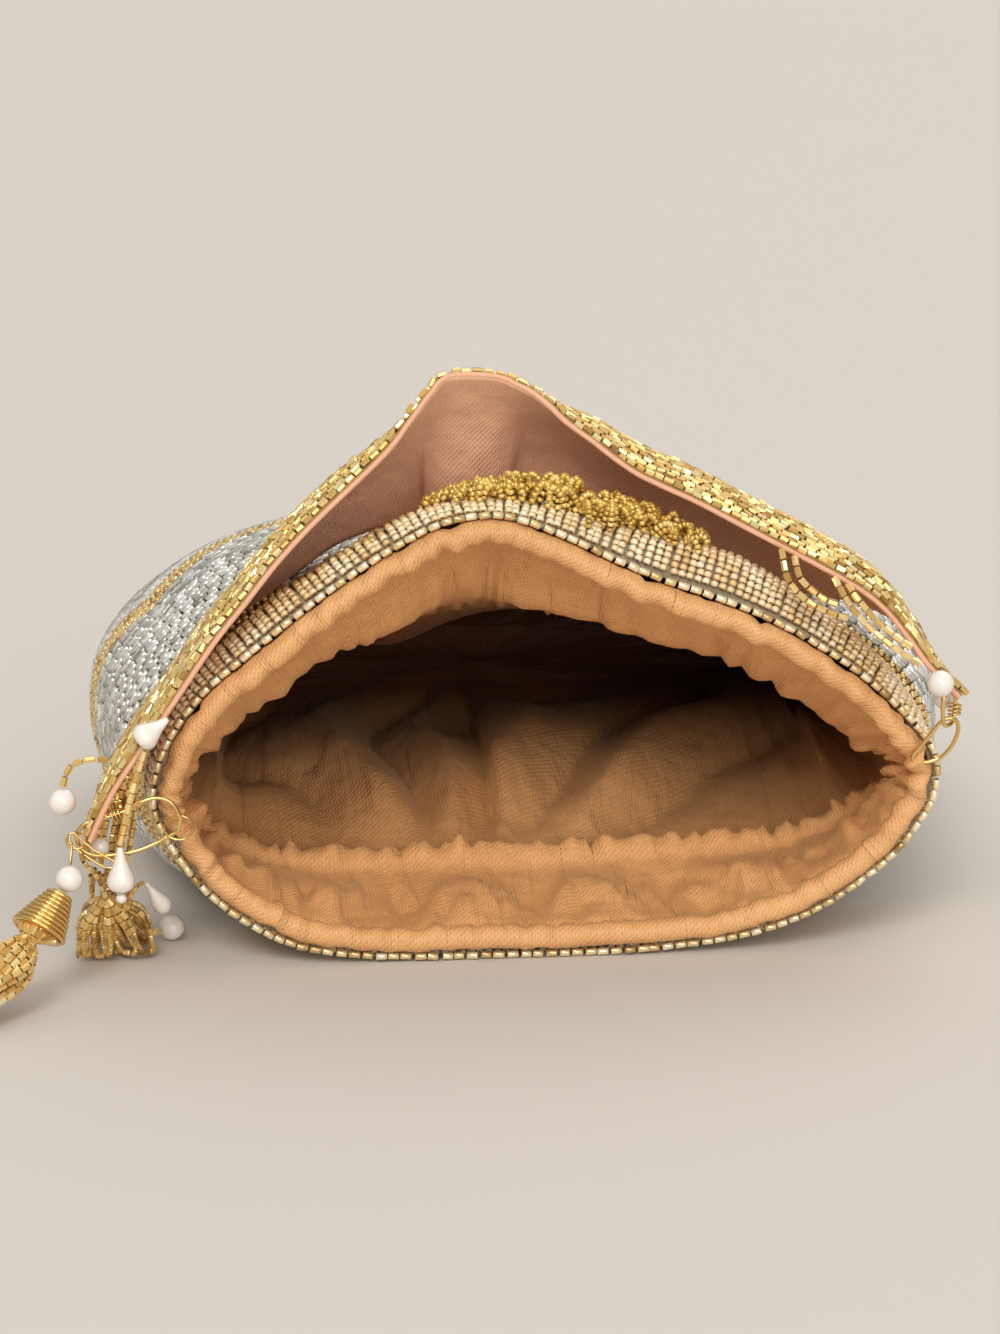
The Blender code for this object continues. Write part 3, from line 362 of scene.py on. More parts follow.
def copies(name, bead, frames, tint, look, body, replaces=(), smooth=True, size=1.0):
    """Many copies of one bead in one mesh. frames holds centres, axes and sides in mm."""
    centre, axis, side = frames
    axis, side = unit(axis), np.asarray(side, float)
    side = unit(side - axis * np.sum(side * axis, axis=1)[:, None])
    third = np.cross(axis, side)
    count, verts = len(centre), len(bead["co"])
    scaled = bead["co"][None] * np.broadcast_to(size, (count, 3)).reshape(count, 1, 3)
    co = (scaled[..., 0:1] * side[:, None] + scaled[..., 1:2] * third[:, None]
          + scaled[..., 2:3] * axis[:, None] + world(centre)[:, None])
    corners = (bead["corners"][None] + np.arange(count)[:, None] * verts).ravel()
    mesh = build_mesh(name, co.reshape(-1, 3), corners, np.tile(bead["sizes"], count), smooth)
    mark(mesh, "tint", np.repeat(np.clip(tint, 0, 1), verts))
    # The end faces carry the painted shade of the bead's bore
    mark(mesh, "bore_shade", np.tile(bead["ends"], count), "FACE")
    return new_object(name, mesh, look, body, replaces)


def cloth_uv(first, second):
    """UV in metres of cloth, from lengths in mm along the columns and the rows of a grid."""
    return np.stack(np.broadcast_arrays(first * MM, second * MM), axis=-1)


def grid_mesh(name, grid, closed, uv, flip=False):
    """A sheet through a grid of points in mm, with its UV in metres of cloth."""
    rows, columns = grid.shape[:2]
    a = np.arange(rows - 1)[:, None] * columns
    i = np.arange(columns if closed else columns - 1)[None]
    k = (i + 1) % columns
    quads = np.stack([a + i, a + k, a + columns + k, a + columns + i], axis=-1).reshape(-1, 4)
    if flip:
        quads = quads[:, ::-1]
    mesh = build_mesh(name, world(grid).reshape(-1, 3), quads.ravel(), np.full(len(quads), 4))
    layer = mesh.uv_layers.new(name="cloth")
    values = uv.reshape(-1, 2)[quads.ravel()]
    if closed:
        values = values.reshape(-1, 4, 2)
        wide = values[..., 0].max(axis=1) - values[..., 0].min(axis=1) > 0.5 * uv[..., 0].max()
        low = values[..., 0] < 0.5 * uv[..., 0].max()
        whole = uv[..., 0].max() + uv[0, 1, 0] - uv[0, 0, 0]
        values[..., 0] += np.where(wide[:, None] & low, whole, 0)
    layer.data.foreach_set("uv", values.astype(np.float32).ravel())
    return mesh


def apply_modifiers(obj):
    only(obj)
    for modifier in list(obj.modifiers):
        bpy.ops.object.modifier_apply(modifier=modifier.name)


def thicken(obj, thickness, offset=0):
    wall = obj.modifiers.new("thickness", "SOLIDIFY")
    wall.thickness = thickness * MM
    wall.offset = offset
    apply_modifiers(obj)


def tube(name, points, radius, closed, look, body, slot, replaces=(), smooth=8, sides=12, taper=None):
    """A wire through points in mm, as a finished mesh."""
    line = catmull_rom(points, closed, smooth)
    curve = bpy.data.curves.new(name, "CURVE")
    curve.dimensions = "3D"
    spline = curve.splines.new("POLY")
    spline.points.add(len(line) - 1)
    for i, (point, at) in enumerate(zip(spline.points, world(line))):
        point.co = (*at, 1)
        point.radius = 1 if taper is None else taper(i / (len(line) - 1))
    spline.use_cyclic_u = closed
    curve.bevel_depth = radius * MM
    curve.bevel_resolution = (sides - 4) // 2
    curve.use_fill_caps = True
    obj = bpy.data.objects.new(name, curve)
    bpy.context.scene.collection.objects.link(obj)
    only(obj)
    bpy.ops.object.convert(target="MESH")
    obj = bpy.context.object
    obj.data.materials.clear()
    obj.data.materials.append(look)
    obj.data.shade_smooth()
    dress(obj, body, replaces)
    return obj


# Materials
def group(name, inputs, outputs):
    tree = bpy.data.node_groups.new(name, "ShaderNodeTree")
    for label, kind, value in inputs:
        socket = tree.interface.new_socket(name=label, in_out="INPUT", socket_type=kind)
        socket.default_value = value
    for label, kind in outputs:
        tree.interface.new_socket(name=label, in_out="OUTPUT", socket_type=kind)
    return tree, tree.nodes.new("NodeGroupInput"), tree.nodes.new("NodeGroupOutput")


def feed(tree, made, values):
    """Sets a node's inputs, or links them where a value is another node's output."""
    for key, value in values.items():
        if isinstance(value, bpy.types.NodeSocket):
            tree.links.new(value, made.inputs[key])
        else:
            made.inputs[key].default_value = value


def node(tree, kind, values=None, **settings):
    made = tree.nodes.new("ShaderNode" + kind)
    for key, value in settings.items():
        setattr(made, key, value)
    feed(tree, made, values or {})
    return made


def mix_colour(tree, factor, first, second):
    mixer = node(tree, "Mix", {"Factor": factor}, data_type="RGBA", blend_type="MIX")
    feed(tree, mixer, {k: (*c, 1) if isinstance(c, tuple) else c for k, c in ((6, first), (7, second))})
    return mixer.outputs[2]


def span(tree, source, low, high):
    """Brings a value from 0 to 1 into the range from low to high."""
    return node(tree, "MapRange", {"Value": source, "To Min": low, "To Max": high}).outputs[0]


def object_noise(tree, scale, detail, roughness):
    """A cloud of noise that stays with the piece."""
    places = node(tree, "TexCoord").outputs["Object"]
    return node(tree, "TexNoise", {"Vector": places, "Scale": scale, "Detail": detail,
                                   "Roughness": roughness}).outputs["Fac"]


def bump(tree, height, strength, distance, under=None):
    values = {"Height": height, "Strength": strength, "Distance": distance}
    if under is not None:
        values["Normal"] = under
    return node(tree, "Bump", values).outputs[0]


def bead_group():
    """Colour and roughness of one bead among many, from its own tint and the painted shade of its bore on its
    end faces.
    """
    colour, number = "NodeSocketColor", "NodeSocketFloat"
    tree, enter, leave = group("bead_tint", [
        ("Dark", colour, (0, 0, 0, 1)), ("Middle", colour, (0.5, 0.5, 0.5, 1)),
        ("Light", colour, (1, 1, 1, 1)), ("Bore Shade", colour, (0.1, 0.1, 0.1, 1)),
        ("Smooth", number, 0.15), ("Rough", number, 0.4),
    ], [("Color", colour), ("Roughness", number)])
    tint = node(tree, "Attribute", attribute_name="tint", attribute_type="GEOMETRY").outputs["Fac"]
    bore_shade = node(tree, "Attribute", attribute_name="bore_shade", attribute_type="GEOMETRY").outputs["Fac"]
    low = node(tree, "MapRange", {"From Max": 0.5, "Value": tint}).outputs[0]
    high = node(tree, "MapRange", {"From Min": 0.5, "Value": tint}).outputs[0]
    glass = mix_colour(tree, low, enter.outputs["Dark"], enter.outputs["Middle"])
    glass = mix_colour(tree, high, glass, enter.outputs["Light"])
    rough = span(tree, tint, enter.outputs["Rough"], enter.outputs["Smooth"])
    feed(tree, leave, {"Color": mix_colour(tree, bore_shade, glass, enter.outputs["Bore Shade"]), "Roughness": rough})
    return tree


def weave_group():
    """A fine twill on the cloth's own UV: a shade between threads and a height for the bump."""
    flat = "NodeSocketFloat"
    tree, enter, leave = group("twill_weave", [
        ("Threads", flat, 700.0), ("Slub", flat, 0.5),
    ], [("Shade", flat), ("Height", flat)])
    uv = node(tree, "UVMap", uv_map="cloth").outputs[0]
    threads = enter.outputs["Threads"]
    warp, weft = (node(tree, "TexWave", {"Vector": uv, "Scale": threads, "Distortion": bent, "Detail": 1.0},
                       wave_type="BANDS", bands_direction=way)
                  for bent, way in ((0.6, "DIAGONAL"), (0.4, "X")))
    stretch = node(tree, "Mapping", {"Vector": uv, "Scale": (1.0, 6.0, 1.0)})
    slub = node(tree, "TexNoise", {"Vector": stretch.outputs[0], "Scale": 260.0, "Detail": 3.0,
                                   "Roughness": 0.6})
    half = node(tree, "Math", {0: weft.outputs["Fac"], 1: 0.5}, operation="MULTIPLY")
    blend = node(tree, "Math", {0: warp.outputs["Fac"], 1: 0.5, 2: half.outputs[0]}, operation="MULTIPLY_ADD")
    mixed = node(tree, "Mix", {"Factor": enter.outputs["Slub"], 2: blend.outputs[0], 3: slub.outputs["Fac"]},
                 data_type="FLOAT")
    feed(tree, leave, {"Shade": mixed.outputs[0], "Height": blend.outputs[0]})
    return tree


BEAD_TINT = bead_group()
WEAVE = weave_group()


def shader_of(name):
    made = bpy.data.materials.new(name)
    made.use_nodes = True
    return made, made.node_tree, made.node_tree.nodes["Principled BSDF"]


def bead_glass(name, dark, middle, light, bore_shade, metallic, smooth=0.12, rough=0.34, coat=0.6):
    made, tree, shader = shader_of(name)
    # The bore colour is painted shade of the bead's hole, put on its end faces
    colours = {"Dark": dark, "Middle": middle, "Light": light, "Bore Shade": bore_shade}
    tint = node(tree, "Group", {"Smooth": smooth, "Rough": rough}, node_tree=BEAD_TINT)
    feed(tree, tint, {label: (*colour, 1) for label, colour in colours.items()})
    feed(tree, shader, {"Base Color": tint.outputs["Color"], "Roughness": tint.outputs["Roughness"],
                        "Metallic": metallic, "Coat Weight": coat, "Coat Roughness": 0.06})
    return made


# Painted shade: what is left of the lining's colour in the deep of the pouch
SHADE = (0.17, 0.12, 0.09)
SHEEN_TINT = (1.0, 0.82, 0.62, 1)


def satin(name, deep, light, threads, roughness=0.5, sheen=0.35, gathers=0.0):
    """Twill cloth. It takes a painted shade of the pouch from its own attribute, where it has one."""
    made, tree, shader = shader_of(name)
    weave = node(tree, "Group", {"Threads": threads, "Slub": 0.45}, node_tree=WEAVE).outputs
    part = node(tree, "Math", {0: object_noise(tree, 22.0, 4.0, 0.55), 1: 0.4}, operation="MULTIPLY")
    total = node(tree, "Math", {0: weave["Shade"], 1: 0.6, 2: part.outputs[0]}, operation="MULTIPLY_ADD")
    # The inside attribute holds painted shade: how far the cloth's colour is darkened towards the pouch's
    # shade
    inside = node(tree, "Attribute", attribute_name="inside", attribute_type="GEOMETRY").outputs["Fac"]
    cloth = mix_colour(tree, total.outputs[0], deep, light)
    # dark is the painted shade colour of the pouch's deep
    dark = tuple(c * f for c, f in zip(deep, SHADE))
    crumple = bump(tree, object_noise(tree, 150.0, 3.0, 0.5), 0.4, 0.0024)
    uv = node(tree, "UVMap", uv_map="cloth").outputs[0]
    drawn = node(tree, "Mapping", {"Vector": uv, "Scale": (1.0, 0.2, 1.0)}).outputs[0]
    pleat = node(tree, "TexNoise", {"Vector": drawn, "Scale": 130.0, "Detail": 2.0, "Roughness": 0.5,
                                    "Distortion": 0.9}).outputs["Fac"]
    gathered = bump(tree, pleat, gathers, 0.0022, crumple)
    feed(tree, shader, {
        "Base Color": mix_colour(tree, inside, cloth, dark),
        "Roughness": span(tree, weave["Shade"], roughness + 0.1, roughness - 0.1),
        "Normal": bump(tree, weave["Height"], 0.8, 0.0002, gathered), "Specular IOR Level": 0.35,
        "Sheen Weight": sheen, "Sheen Roughness": 0.4, "Sheen Tint": SHEEN_TINT,
    })
    return made


def gold_metal(name, colour, roughness):
    made, tree, shader = shader_of(name)
    wear = object_noise(tree, 260.0, 2.0, 0.5)
    deep = tuple(c * f for c, f in zip(colour, (0.86, 0.8, 0.7)))
    feed(tree, shader, {
        "Base Color": mix_colour(tree, wear, deep, colour), "Metallic": 1.0,
        "Roughness": span(tree, wear, roughness - 0.06, roughness + 0.1),
        "Normal": bump(tree, wear, 0.05, 0.00005),
    })
    return made


def pearl_lustre(name):
    made, tree, shader = shader_of(name)
    veil = object_noise(tree, 320.0, 3.0, 0.5)
    feed(tree, shader, {
        "Base Color": mix_colour(tree, veil, (0.78, 0.73, 0.66), (0.92, 0.89, 0.84)),
        "Roughness": span(tree, veil, 0.16, 0.26), "Coat Weight": 0.8, "Coat Roughness": 0.08,
        "Subsurface Weight": 0.15, "Subsurface Scale": 0.001, "Subsurface Radius": (1.0, 0.8, 0.7),
    })
    return made


SILVER_GLASS = bead_glass("silver_lined_tubes", (0.26, 0.25, 0.20), (0.72, 0.71, 0.65), (0.97, 0.97, 0.93),
                          (0.34, 0.33, 0.29), 0.45, 0.08, 0.32)
GOLD_GLASS = bead_glass("gold_lined_beads", (0.38, 0.19, 0.04), (0.88, 0.58, 0.18), (1.0, 0.82, 0.42),
                        (0.24, 0.14, 0.05), 0.55, 0.1, 0.32)
STRAP_GLASS = bead_glass("gold_lined_tubes", (0.38, 0.20, 0.04), (0.86, 0.58, 0.18), (1.0, 0.85, 0.46),
                         (0.24, 0.14, 0.05), 0.65, 0.1, 0.3)
RUFFLE_GLASS = bead_glass("gold_ruffle_seeds", (0.34, 0.18, 0.03), (0.80, 0.52, 0.10), (0.98, 0.76, 0.28),
                          (0.20, 0.11, 0.02), 0.4, 0.1, 0.3)
CHAMPAGNE_GLASS = bead_glass("champagne_seeds", (0.26, 0.12, 0.02), (0.84, 0.60, 0.28), (0.98, 0.86, 0.62),
                             (0.42, 0.26, 0.10), 0.15, 0.12, 0.32, 0.3)
RIM_GLASS = bead_glass("champagne_tubes", (0.42, 0.27, 0.09), (0.84, 0.64, 0.32), (0.98, 0.87, 0.60),
                       (0.16, 0.11, 0.05), 0.5, 0.06, 0.24, 0.4)
WHITE_GLASS = bead_glass("white_tubes", (0.58, 0.56, 0.50), (0.78, 0.76, 0.70), (0.95, 0.93, 0.88),
                         (0.4, 0.38, 0.34), 0.1, 0.15, 0.35)
PEACH_SATIN = satin("peach_satin", (0.56, 0.25, 0.08), (0.92, 0.54, 0.24), 430.0, 0.38, 0.08, 0.95)
SALMON_SATIN = satin("salmon_satin", (0.72, 0.36, 0.22), (0.96, 0.60, 0.40), 520.0, 0.5, 0.2, 0.25)
GROUND_CLOTH = satin("beadwork_ground", (0.30, 0.24, 0.16), (0.46, 0.38, 0.27), 500.0, 0.75, 0.1)
STRAP_GROUND = satin("strap_ground", (0.30, 0.18, 0.06), (0.45, 0.30, 0.12), 500.0, 0.75, 0.1)
GOLD_WIRE = gold_metal("polished_gold_wire", (0.88, 0.64, 0.26), 0.16)
CAP_WIRE = gold_metal("wound_cap_wire", (0.86, 0.60, 0.22), 0.2)
PEARL_SKIN = pearl_lustre("pearl_skin")


# Outside of the body, in mm
TAIL_Y = 214.0
# The cloth under the beads: its depth, its least height over the table and its UV length from row to
# row. It takes every fourth point of the mouth's loop.
SHELL_INSET = 1.9
SHELL_LOW = 1.2
SHELL_UV_STEP = 2.0
SHELL_SKIP = 4
SHELL_ROWS = np.concatenate([np.linspace(0, 30, 16), np.linspace(36, 176, 20), np.linspace(180, TAIL_Y, 12)])


def shell_cloth():
    """The cloth that the beads are sewn to, just under them."""
    s = np.arange(0, len(MOUTH_LOOP), SHELL_SKIP) / len(MOUTH_LOOP)
    grid = np.array([body_point(s, y) - body_normal(s, y) * SHELL_INSET for y in SHELL_ROWS])
    last = grid[-1].mean(axis=0)
    closing = [grid[-1] * (1 - t) + last * t for t in (0.4, 0.75, 0.97)]
    grid = np.concatenate([grid, closing])
    grid[..., 2] = np.maximum(grid[..., 2], SHELL_LOW)
    length = np.linalg.norm(np.diff(MOUTH_LOOP, axis=0), axis=1).sum()
    uv = cloth_uv(s[None] * length, (np.arange(len(grid)) * SHELL_UV_STEP)[:, None])
    mesh = grid_mesh("shell_cloth", grid, True, uv)
    thicken(new_object("shell_cloth", mesh, GROUND_CLOTH, "bag", ["bag_shell"]), 0.9, -1)


def row_of(level, pitch, inset, phase, wobble, rng):
    """Bead places along a row round the body. level gives the row's distance behind the mouth."""
    s = np.linspace(0, 1, 1601)
    along = run_of(body_point(s, level(s)))
    count = max(3, int(along[-1] / pitch))
    wanted = (np.arange(count) + phase) / count * along[-1] % along[-1]
    at = np.interp(wanted, along, s)
    behind = np.maximum(level(at) + rng.normal(0, wobble, count), 0.3)
    normal = body_normal(at, behind)
    centre = body_point(at, behind) - normal * inset
    after, before = at + SHARE_STEP, at - SHARE_STEP
    ahead = body_point(after, level(after)) - body_point(before, level(before))
    return at, centre, unit(ahead), normal


MERIDIAN_Y = np.linspace(0, TAIL_Y, 430)
MERIDIAN = run_of(np.array([body_point(np.arange(0, 1, 0.02), y) for y in MERIDIAN_Y]))


def behind_of(v):
    """Distance behind the mouth of a place v mm along the skin."""
    return np.interp(v, MERIDIAN, MERIDIAN_Y)


SCALLOPS = 9
SCALLOP_DEPTH = 14.0
SCALLOP_FROM = 26
SCALLOP_TO = 236
SCALLOP_BLEND = 50
# Pitch between beads, step between rows, and where rows begin or how far they reach
COLLAR_PITCH = 2.05
COLLAR_STEP = 1.62
COLLAR_REACH = 14.4
NECK_START = 14.8
NECK_STEP = 1.9
NECK_ROWS = 5
NECK_PITCH = 1.75
RIM_PITCH = 3.05
RIM_FORWARD = 1.2
ROW_STEP = {"silver": 1.8, "gold": 2.15, "white": 1.9}
BEAD_PITCH = {"silver": 4.3, "gold": 1.95, "white": 4.3}
TAIL_PITCH = 1.9
TAIL_STEP = 1.75
TAIL_SINK = 0.6
ALL_ROUND = np.linspace(0, 1, 4001)
# Beads by radius, length, sides and chamfer
SEED = tube_bead(0.98, 1.5, 6, 0.38)
BAND_SEED = tube_bead(1.02, 1.6, 5, 0.38)
SMALL_SEED = tube_bead(0.78, 1.15, 6, 0.3)
LONG_TUBE = tube_bead(0.86, 4.1, 5)
TUBE_LENGTH = 2.5
SHORT_TUBE = tube_bead(0.84, TUBE_LENGTH, 6, 0.16)
BEAD_GAP = 0.12
STRAP_TUBE = tube_bead(0.66, 2.3, 6, 0.12)
RIM_TUBE = tube_bead(0.86, 2.55, 8, 0.14)


def scallop(s, v):
    """How far a row is pushed back, growing from the neck to the belly."""
    wave = np.abs(np.sin(math.pi * SCALLOPS * (s + 0.03)))
    grown = smooth_step((v - SCALLOP_FROM) / SCALLOP_BLEND)
    return grown * SCALLOP_DEPTH * (wave - 0.5) * smooth_step((SCALLOP_TO - v) / SCALLOP_BLEND)


def gather(rows):
    """Joins rows of bead places into one set."""
    return [np.concatenate(part) for part in zip(*rows)]


def rolled(axis, side, rng):
    """Sides turned at random about the beads' own axes."""
    turn = rng.random(len(axis)) * math.tau
    return side * np.cos(turn)[:, None] + np.cross(unit(axis), side) * np.sin(turn)[:, None]


def lengths(count, low, high, rng):
    """Sizes of beads that differ in their length alone."""
    size = np.ones((count, 3))
    size[:, 2] = rng.uniform(low, high, count)
    return size


def collar_seeds():
    """Columns of seed beads from the rim over the flared collar, bronze at the left."""
    rng = np.random.default_rng(11)
    along = run_of(body_point(ALL_ROUND, 5.0))
    count = int(along[-1] / COLLAR_PITCH)
    columns = np.interp((np.arange(count) + rng.normal(0, 0.05, count)) / count * along[-1], along,
                        ALL_ROUND)
    fine = np.linspace(0.5, COLLAR_REACH, 60)
    rows = []
    for at in columns:
        length = run_of(body_point(np.full(len(fine), at), fine))
        number = int(length[-1] / COLLAR_STEP)
        behind = np.interp((np.arange(number) + 0.5) * length[-1] / number, length, fine)
        spot = np.full(number, at + rng.normal(0, 0.0002)) + rng.normal(0, 0.0002, number)
        normal = body_normal(spot, behind)
        ahead = unit(body_point(spot, behind + 0.3) - body_point(spot, np.maximum(behind - 0.3, 0)))
        sink = 0.98 - rng.normal(0, 0.1, (number, 1))
        ahead = ahead + rng.normal(0, 0.1, (number, 3))
        rows.append((body_point(spot, behind) - normal * sink, ahead, normal, np.arange(number)))
    centre, axis, side, level = gather(rows)
    # A bronze patch at the upper left, and less of it at the left end and near the table
    left = np.exp(-(((centre[:, 0] + 46) / 22) ** 2)) * (centre[:, 2] > 50)
    left = left + 0.7 * (centre[:, 0] < -78) + 0.3 * (centre[:, 2] < 20)
    clump = np.array([noise.noise(Vector(c) * 0.12) for c in centre])
    bronze = left * smooth_step((level - 0.5) / 5)
    tint = 0.74 + 0.4 * clump + rng.normal(0, 0.13, len(level)) - bronze * 0.95
    copies("collar_seeds", SEED, (centre, axis, side), tint, CHAMPAGNE_GLASS, "bag")


def neck_seeds():
    """Rows of gold seed beads where the neck is drawn in, bronze at the left."""
    rng = np.random.default_rng(12)
    rows = []
    for k in range(NECK_ROWS):
        level = NECK_START + k * NECK_STEP
        at, centre, ahead, normal = row_of(lambda s, level=level: level + 0 * s, NECK_PITCH, 1.0,
                                           0.3 * k, 0.2, rng)
        rows.append((centre, ahead + rng.normal(0, 0.25, (len(at), 3)), normal, at))
    centre, axis, side, at = gather(rows)
    dark = np.exp(-(((centre[:, 0] + 60) / 22) ** 2)) * (centre[:, 2] > 50)
    tint = 0.5 + rng.normal(0, 0.2, len(at)) - 0.45 * dark
    copies("neck_seeds", BAND_SEED, (centre, axis, side), tint, GOLD_GLASS, "bag")


BANDS = [  # from, to (mm along the skin from the mouth), what
    (25, 33, "gold"), (33, 70, "silver"), (70, 82, "gold"), (82, 90, "white"),
    (90, 124, "silver"), (124, 132, "gold"), (132, 166, "silver"), (166, 174, "gold"),
    (174, 206, "silver"), (206, 213, "gold"), (213, 236, "silver"), (236, 262, "gold"),
]


def body_rows():
    """Curved rows of silver tubes between scalloped bands of gold seeds and one of white tubes."""
    rng = np.random.default_rng(13)
    found = {"silver": [], "gold": [], "white": []}
    for start, end, kind in BANDS:
        count = max(1, round((end - start) / ROW_STEP[kind]))
        for k in range(count):
            v = start + (k + 0.5) * (end - start) / count
            if v > MERIDIAN[-1] - 0.6:
                continue
            level = (lambda s, v=v: behind_of(v + scallop(s, v)))
            at, centre, ahead, normal = row_of(level, BEAD_PITCH[kind], 0.85, rng.random(), 0.12, rng)
            lift = normal * rng.normal(0, 0.07, (len(at), 1))
            ahead = ahead + rng.normal(0, 0.035 if kind != "gold" else 0.25, (len(at), 3))
            found[kind].append((centre + lift, ahead, normal, at, np.full(len(at), v)))
    return {kind: gather(rows) for kind, rows in found.items()}


def under_table(centre, radius):
    """Keeps the beads of the flat underside on the table."""
    out = centre.copy()
    out[:, 2] = np.maximum(out[:, 2], radius)
    return out


def body_beads():
    """The rows of the body, each kind in two pieces."""
    rng = np.random.default_rng(14)
    fields = body_rows()
    for kind, bead, look, name, low in (("silver", LONG_TUBE, SILVER_GLASS, "silver_tube_rows", 0.8),
                                        ("gold", BAND_SEED, GOLD_GLASS, "gold_seed_bands", 0.98),
                                        ("white", LONG_TUBE, WHITE_GLASS, "white_tube_band", 0.8)):
        centre, axis, side, at, v = fields[kind]
        centre = under_table(centre, low)
        side = rolled(axis, side, rng)
        tint = 0.5 + rng.normal(0, 0.22, len(at))
        if kind == "gold":
            tint = tint + 0.06 + 0.2 * np.sin(v * 1.3)
        size = lengths(len(at), 0.86, 1.03, rng)
        for k in range(2):
            pick = (np.arange(len(at)) * 2 // len(at)) == k
            copies(f"{name}_{k + 1}", bead, (centre[pick], axis[pick], side[pick]), tint[pick], look,
                   "bag", size=size[pick])


def tail_seeds():
    """Gold seeds over the drawn-in tip of the body."""
    rng = np.random.default_rng(17)
    loop = body_point(np.arange(0, 1, 0.004), TAIL_Y)
    middle = (loop.min(axis=0) + loop.max(axis=0)) / 2
    half = (loop.max(axis=0) - loop.min(axis=0)) / 2
    x, z = np.meshgrid(np.arange(-half[0], half[0], TAIL_PITCH), np.arange(-half[2], half[2] + 1, TAIL_STEP))
    x = x + np.where(np.arange(len(x))[:, None] % 2, TAIL_PITCH / 2, 0)
    keep = (x / half[0]) ** 2 + (z / half[2]) ** 2 < 1.08
    x, z = x[keep], z[keep]
    bulge = 0.9 * (1 - (x / half[0]) ** 2).clip(0, 1)
    centre = np.stack([middle[0] + x, TAIL_Y - TAIL_SINK + bulge, middle[2] + z], axis=1)
    axis = np.array((1.0, 0, 0)) + rng.normal(0, 0.2, (len(x), 3))
    side = np.tile((0.0, 1.0, 0.0), (len(x), 1))
    copies("tail_seeds", BAND_SEED, (centre, axis, side), 0.55 + rng.normal(0, 0.2, len(x)), GOLD_GLASS,
           "bag")


def rim_tubes():
    """The row of short champagne tubes sewn along the mouth's edge."""
    rng = np.random.default_rng(15)
    along = run_of(loop_at(MOUTH_LOOP, ALL_ROUND))
    count = int(along[-1] / RIM_PITCH)
    wanted = (np.arange(count) + rng.normal(0, 0.06, count)) / count * along[-1] % along[-1]
    at = np.interp(wanted, along, ALL_ROUND)
    tangent = loop_at(MOUTH_LOOP, at + SHARE_STEP) - loop_at(MOUTH_LOOP, at - SHARE_STEP)
    tangent = np.stack([tangent[:, 0], 0 * at, tangent[:, 1]], axis=1)
    inward = unit(np.stack([tangent[:, 2], 0 * at, -tangent[:, 0]], axis=1))
    flat = loop_at(MOUTH_LOOP, at)
    centre = np.stack([flat[:, 0], np.full(count, -RIM_FORWARD), flat[:, 1]], axis=1) + inward * 1.0
    centre[:, 1] += rng.normal(0, 0.12, count)
    centre = under_table(centre, 0.88)
    axis = unit(tangent) + rng.normal(0, 0.07, (count, 3))
    side = inward + rng.normal(0, 0.3, (count, 3))
    size = lengths(count, 0.9, 1.05, rng)
    tint = 0.62 + rng.normal(0, 0.24, count)
    copies("rim_tubes", RIM_TUBE, (centre, axis, side), tint, RIM_GLASS, "bag", ["rim_edging"],
           size=size)


# How high the loops of the ruffle rise, by place along the collar
RUFFLE_RISE = [
    (-28, 0.9), (-22, 2.6), (-14, 4.4), (-5, 7.2), (4, 7.8), (12, 6.4), (20, 5.0), (28, 3.6), (34, 1.4),
]
RUFFLE_LOOPS = 150
RUFFLE_START = -27.0
RUFFLE_LENGTH = 60.0
RUFFLE_PITCH = 1.2


def ruffle_loops():
    """Loops of small gold seeds, heaped along the top of the collar."""
    rng = np.random.default_rng(16)
    rows = []
    for k in range(RUFFLE_LOOPS):
        x = RUFFLE_START + RUFFLE_LENGTH * (k + rng.random()) / RUFFLE_LOOPS
        rise = float(table_at(RUFFLE_RISE, x))
        s, y = share_at(x), 4.0 + 9.5 * rng.random()
        base, normal = body_point(s, y), body_normal(s, y)
        lean = unit(normal + (rng.normal(0, 0.4), -0.35 + rng.normal(0, 0.35), 0.5))
        across = unit(np.cross(lean, unit(rng.normal(0, 1, 3))))
        tall, wide = rise * rng.uniform(0.45, 1.05) + 0.6, rng.uniform(1.3, 2.3)
        length = 2 * tall + 1.2 * wide
        count = int(length / RUFFLE_PITCH)
        turn = (np.arange(count) + 0.5) / count * math.pi
        line = base + lean * (np.sin(turn)[:, None] * tall - 0.1) - across * (np.cos(turn)[:, None] * wide)
        ahead = lean * np.cos(turn)[:, None] * tall + across * np.sin(turn)[:, None] * wide
        rows.append((line, ahead, np.tile(normal, (count, 1)), np.full(count, rng.normal(0, 0.12))))
    centre, axis, side, shade = gather(rows)
    tint = 0.6 + shade + rng.normal(0, 0.18, len(shade))
    copies("ruffle_loops", SMALL_SEED, (centre, axis, side), tint, RUFFLE_GLASS, "bag",
           ["bead_loop_ruffle"])


# Lining
# Along the cloth: distance behind the mouth, inset from the skin at the floor, the top and the sides
LINING_LINE = [
    (-0.2, 2.4, 2.4, 2.4), (-1.8, 2.5, 2.5, 2.5), (-3.0, 3.1, 3.1, 3.1), (-3.7, 4.3, 4.3, 4.2),
    (-3.4, 5.8, 5.6, 5.4), (-2.2, 7.0, 6.8, 6.4), (-0.4, 7.7, 7.4, 6.9), (1.2, 7.2, 7.0, 6.4),
    (3.0, 6.9, 7.4, 6.2), (7, 7.2, 9.0, 6.4), (13, 8.2, 12.0, 6.8), (20, 9.2, 15.5, 7.0),
    (28, 9.6, 18.5, 7.2), (35, 10.6, 21, 7.6), (39, 13.6, 22.5, 8.4), (42.5, 14.6, 23.5, 8.6),
    (46, 12.6, 24.5, 8.0), (52, 12.2, 26, 8), (62, 15, 28, 8.5), (76, 19.5, 29, 10), (92, 23, 29, 11),
    (110, 25, 28, 12.5), (128, 24, 26, 14), (144, 22, 25, 17), (156, 22, 25, 21), (163, 23, 25, 26),
]
LINING_SHARES = 320
LINING_SUB = 4
POUCH_DEPTH = 160
POUCH_HEIGHT = 100


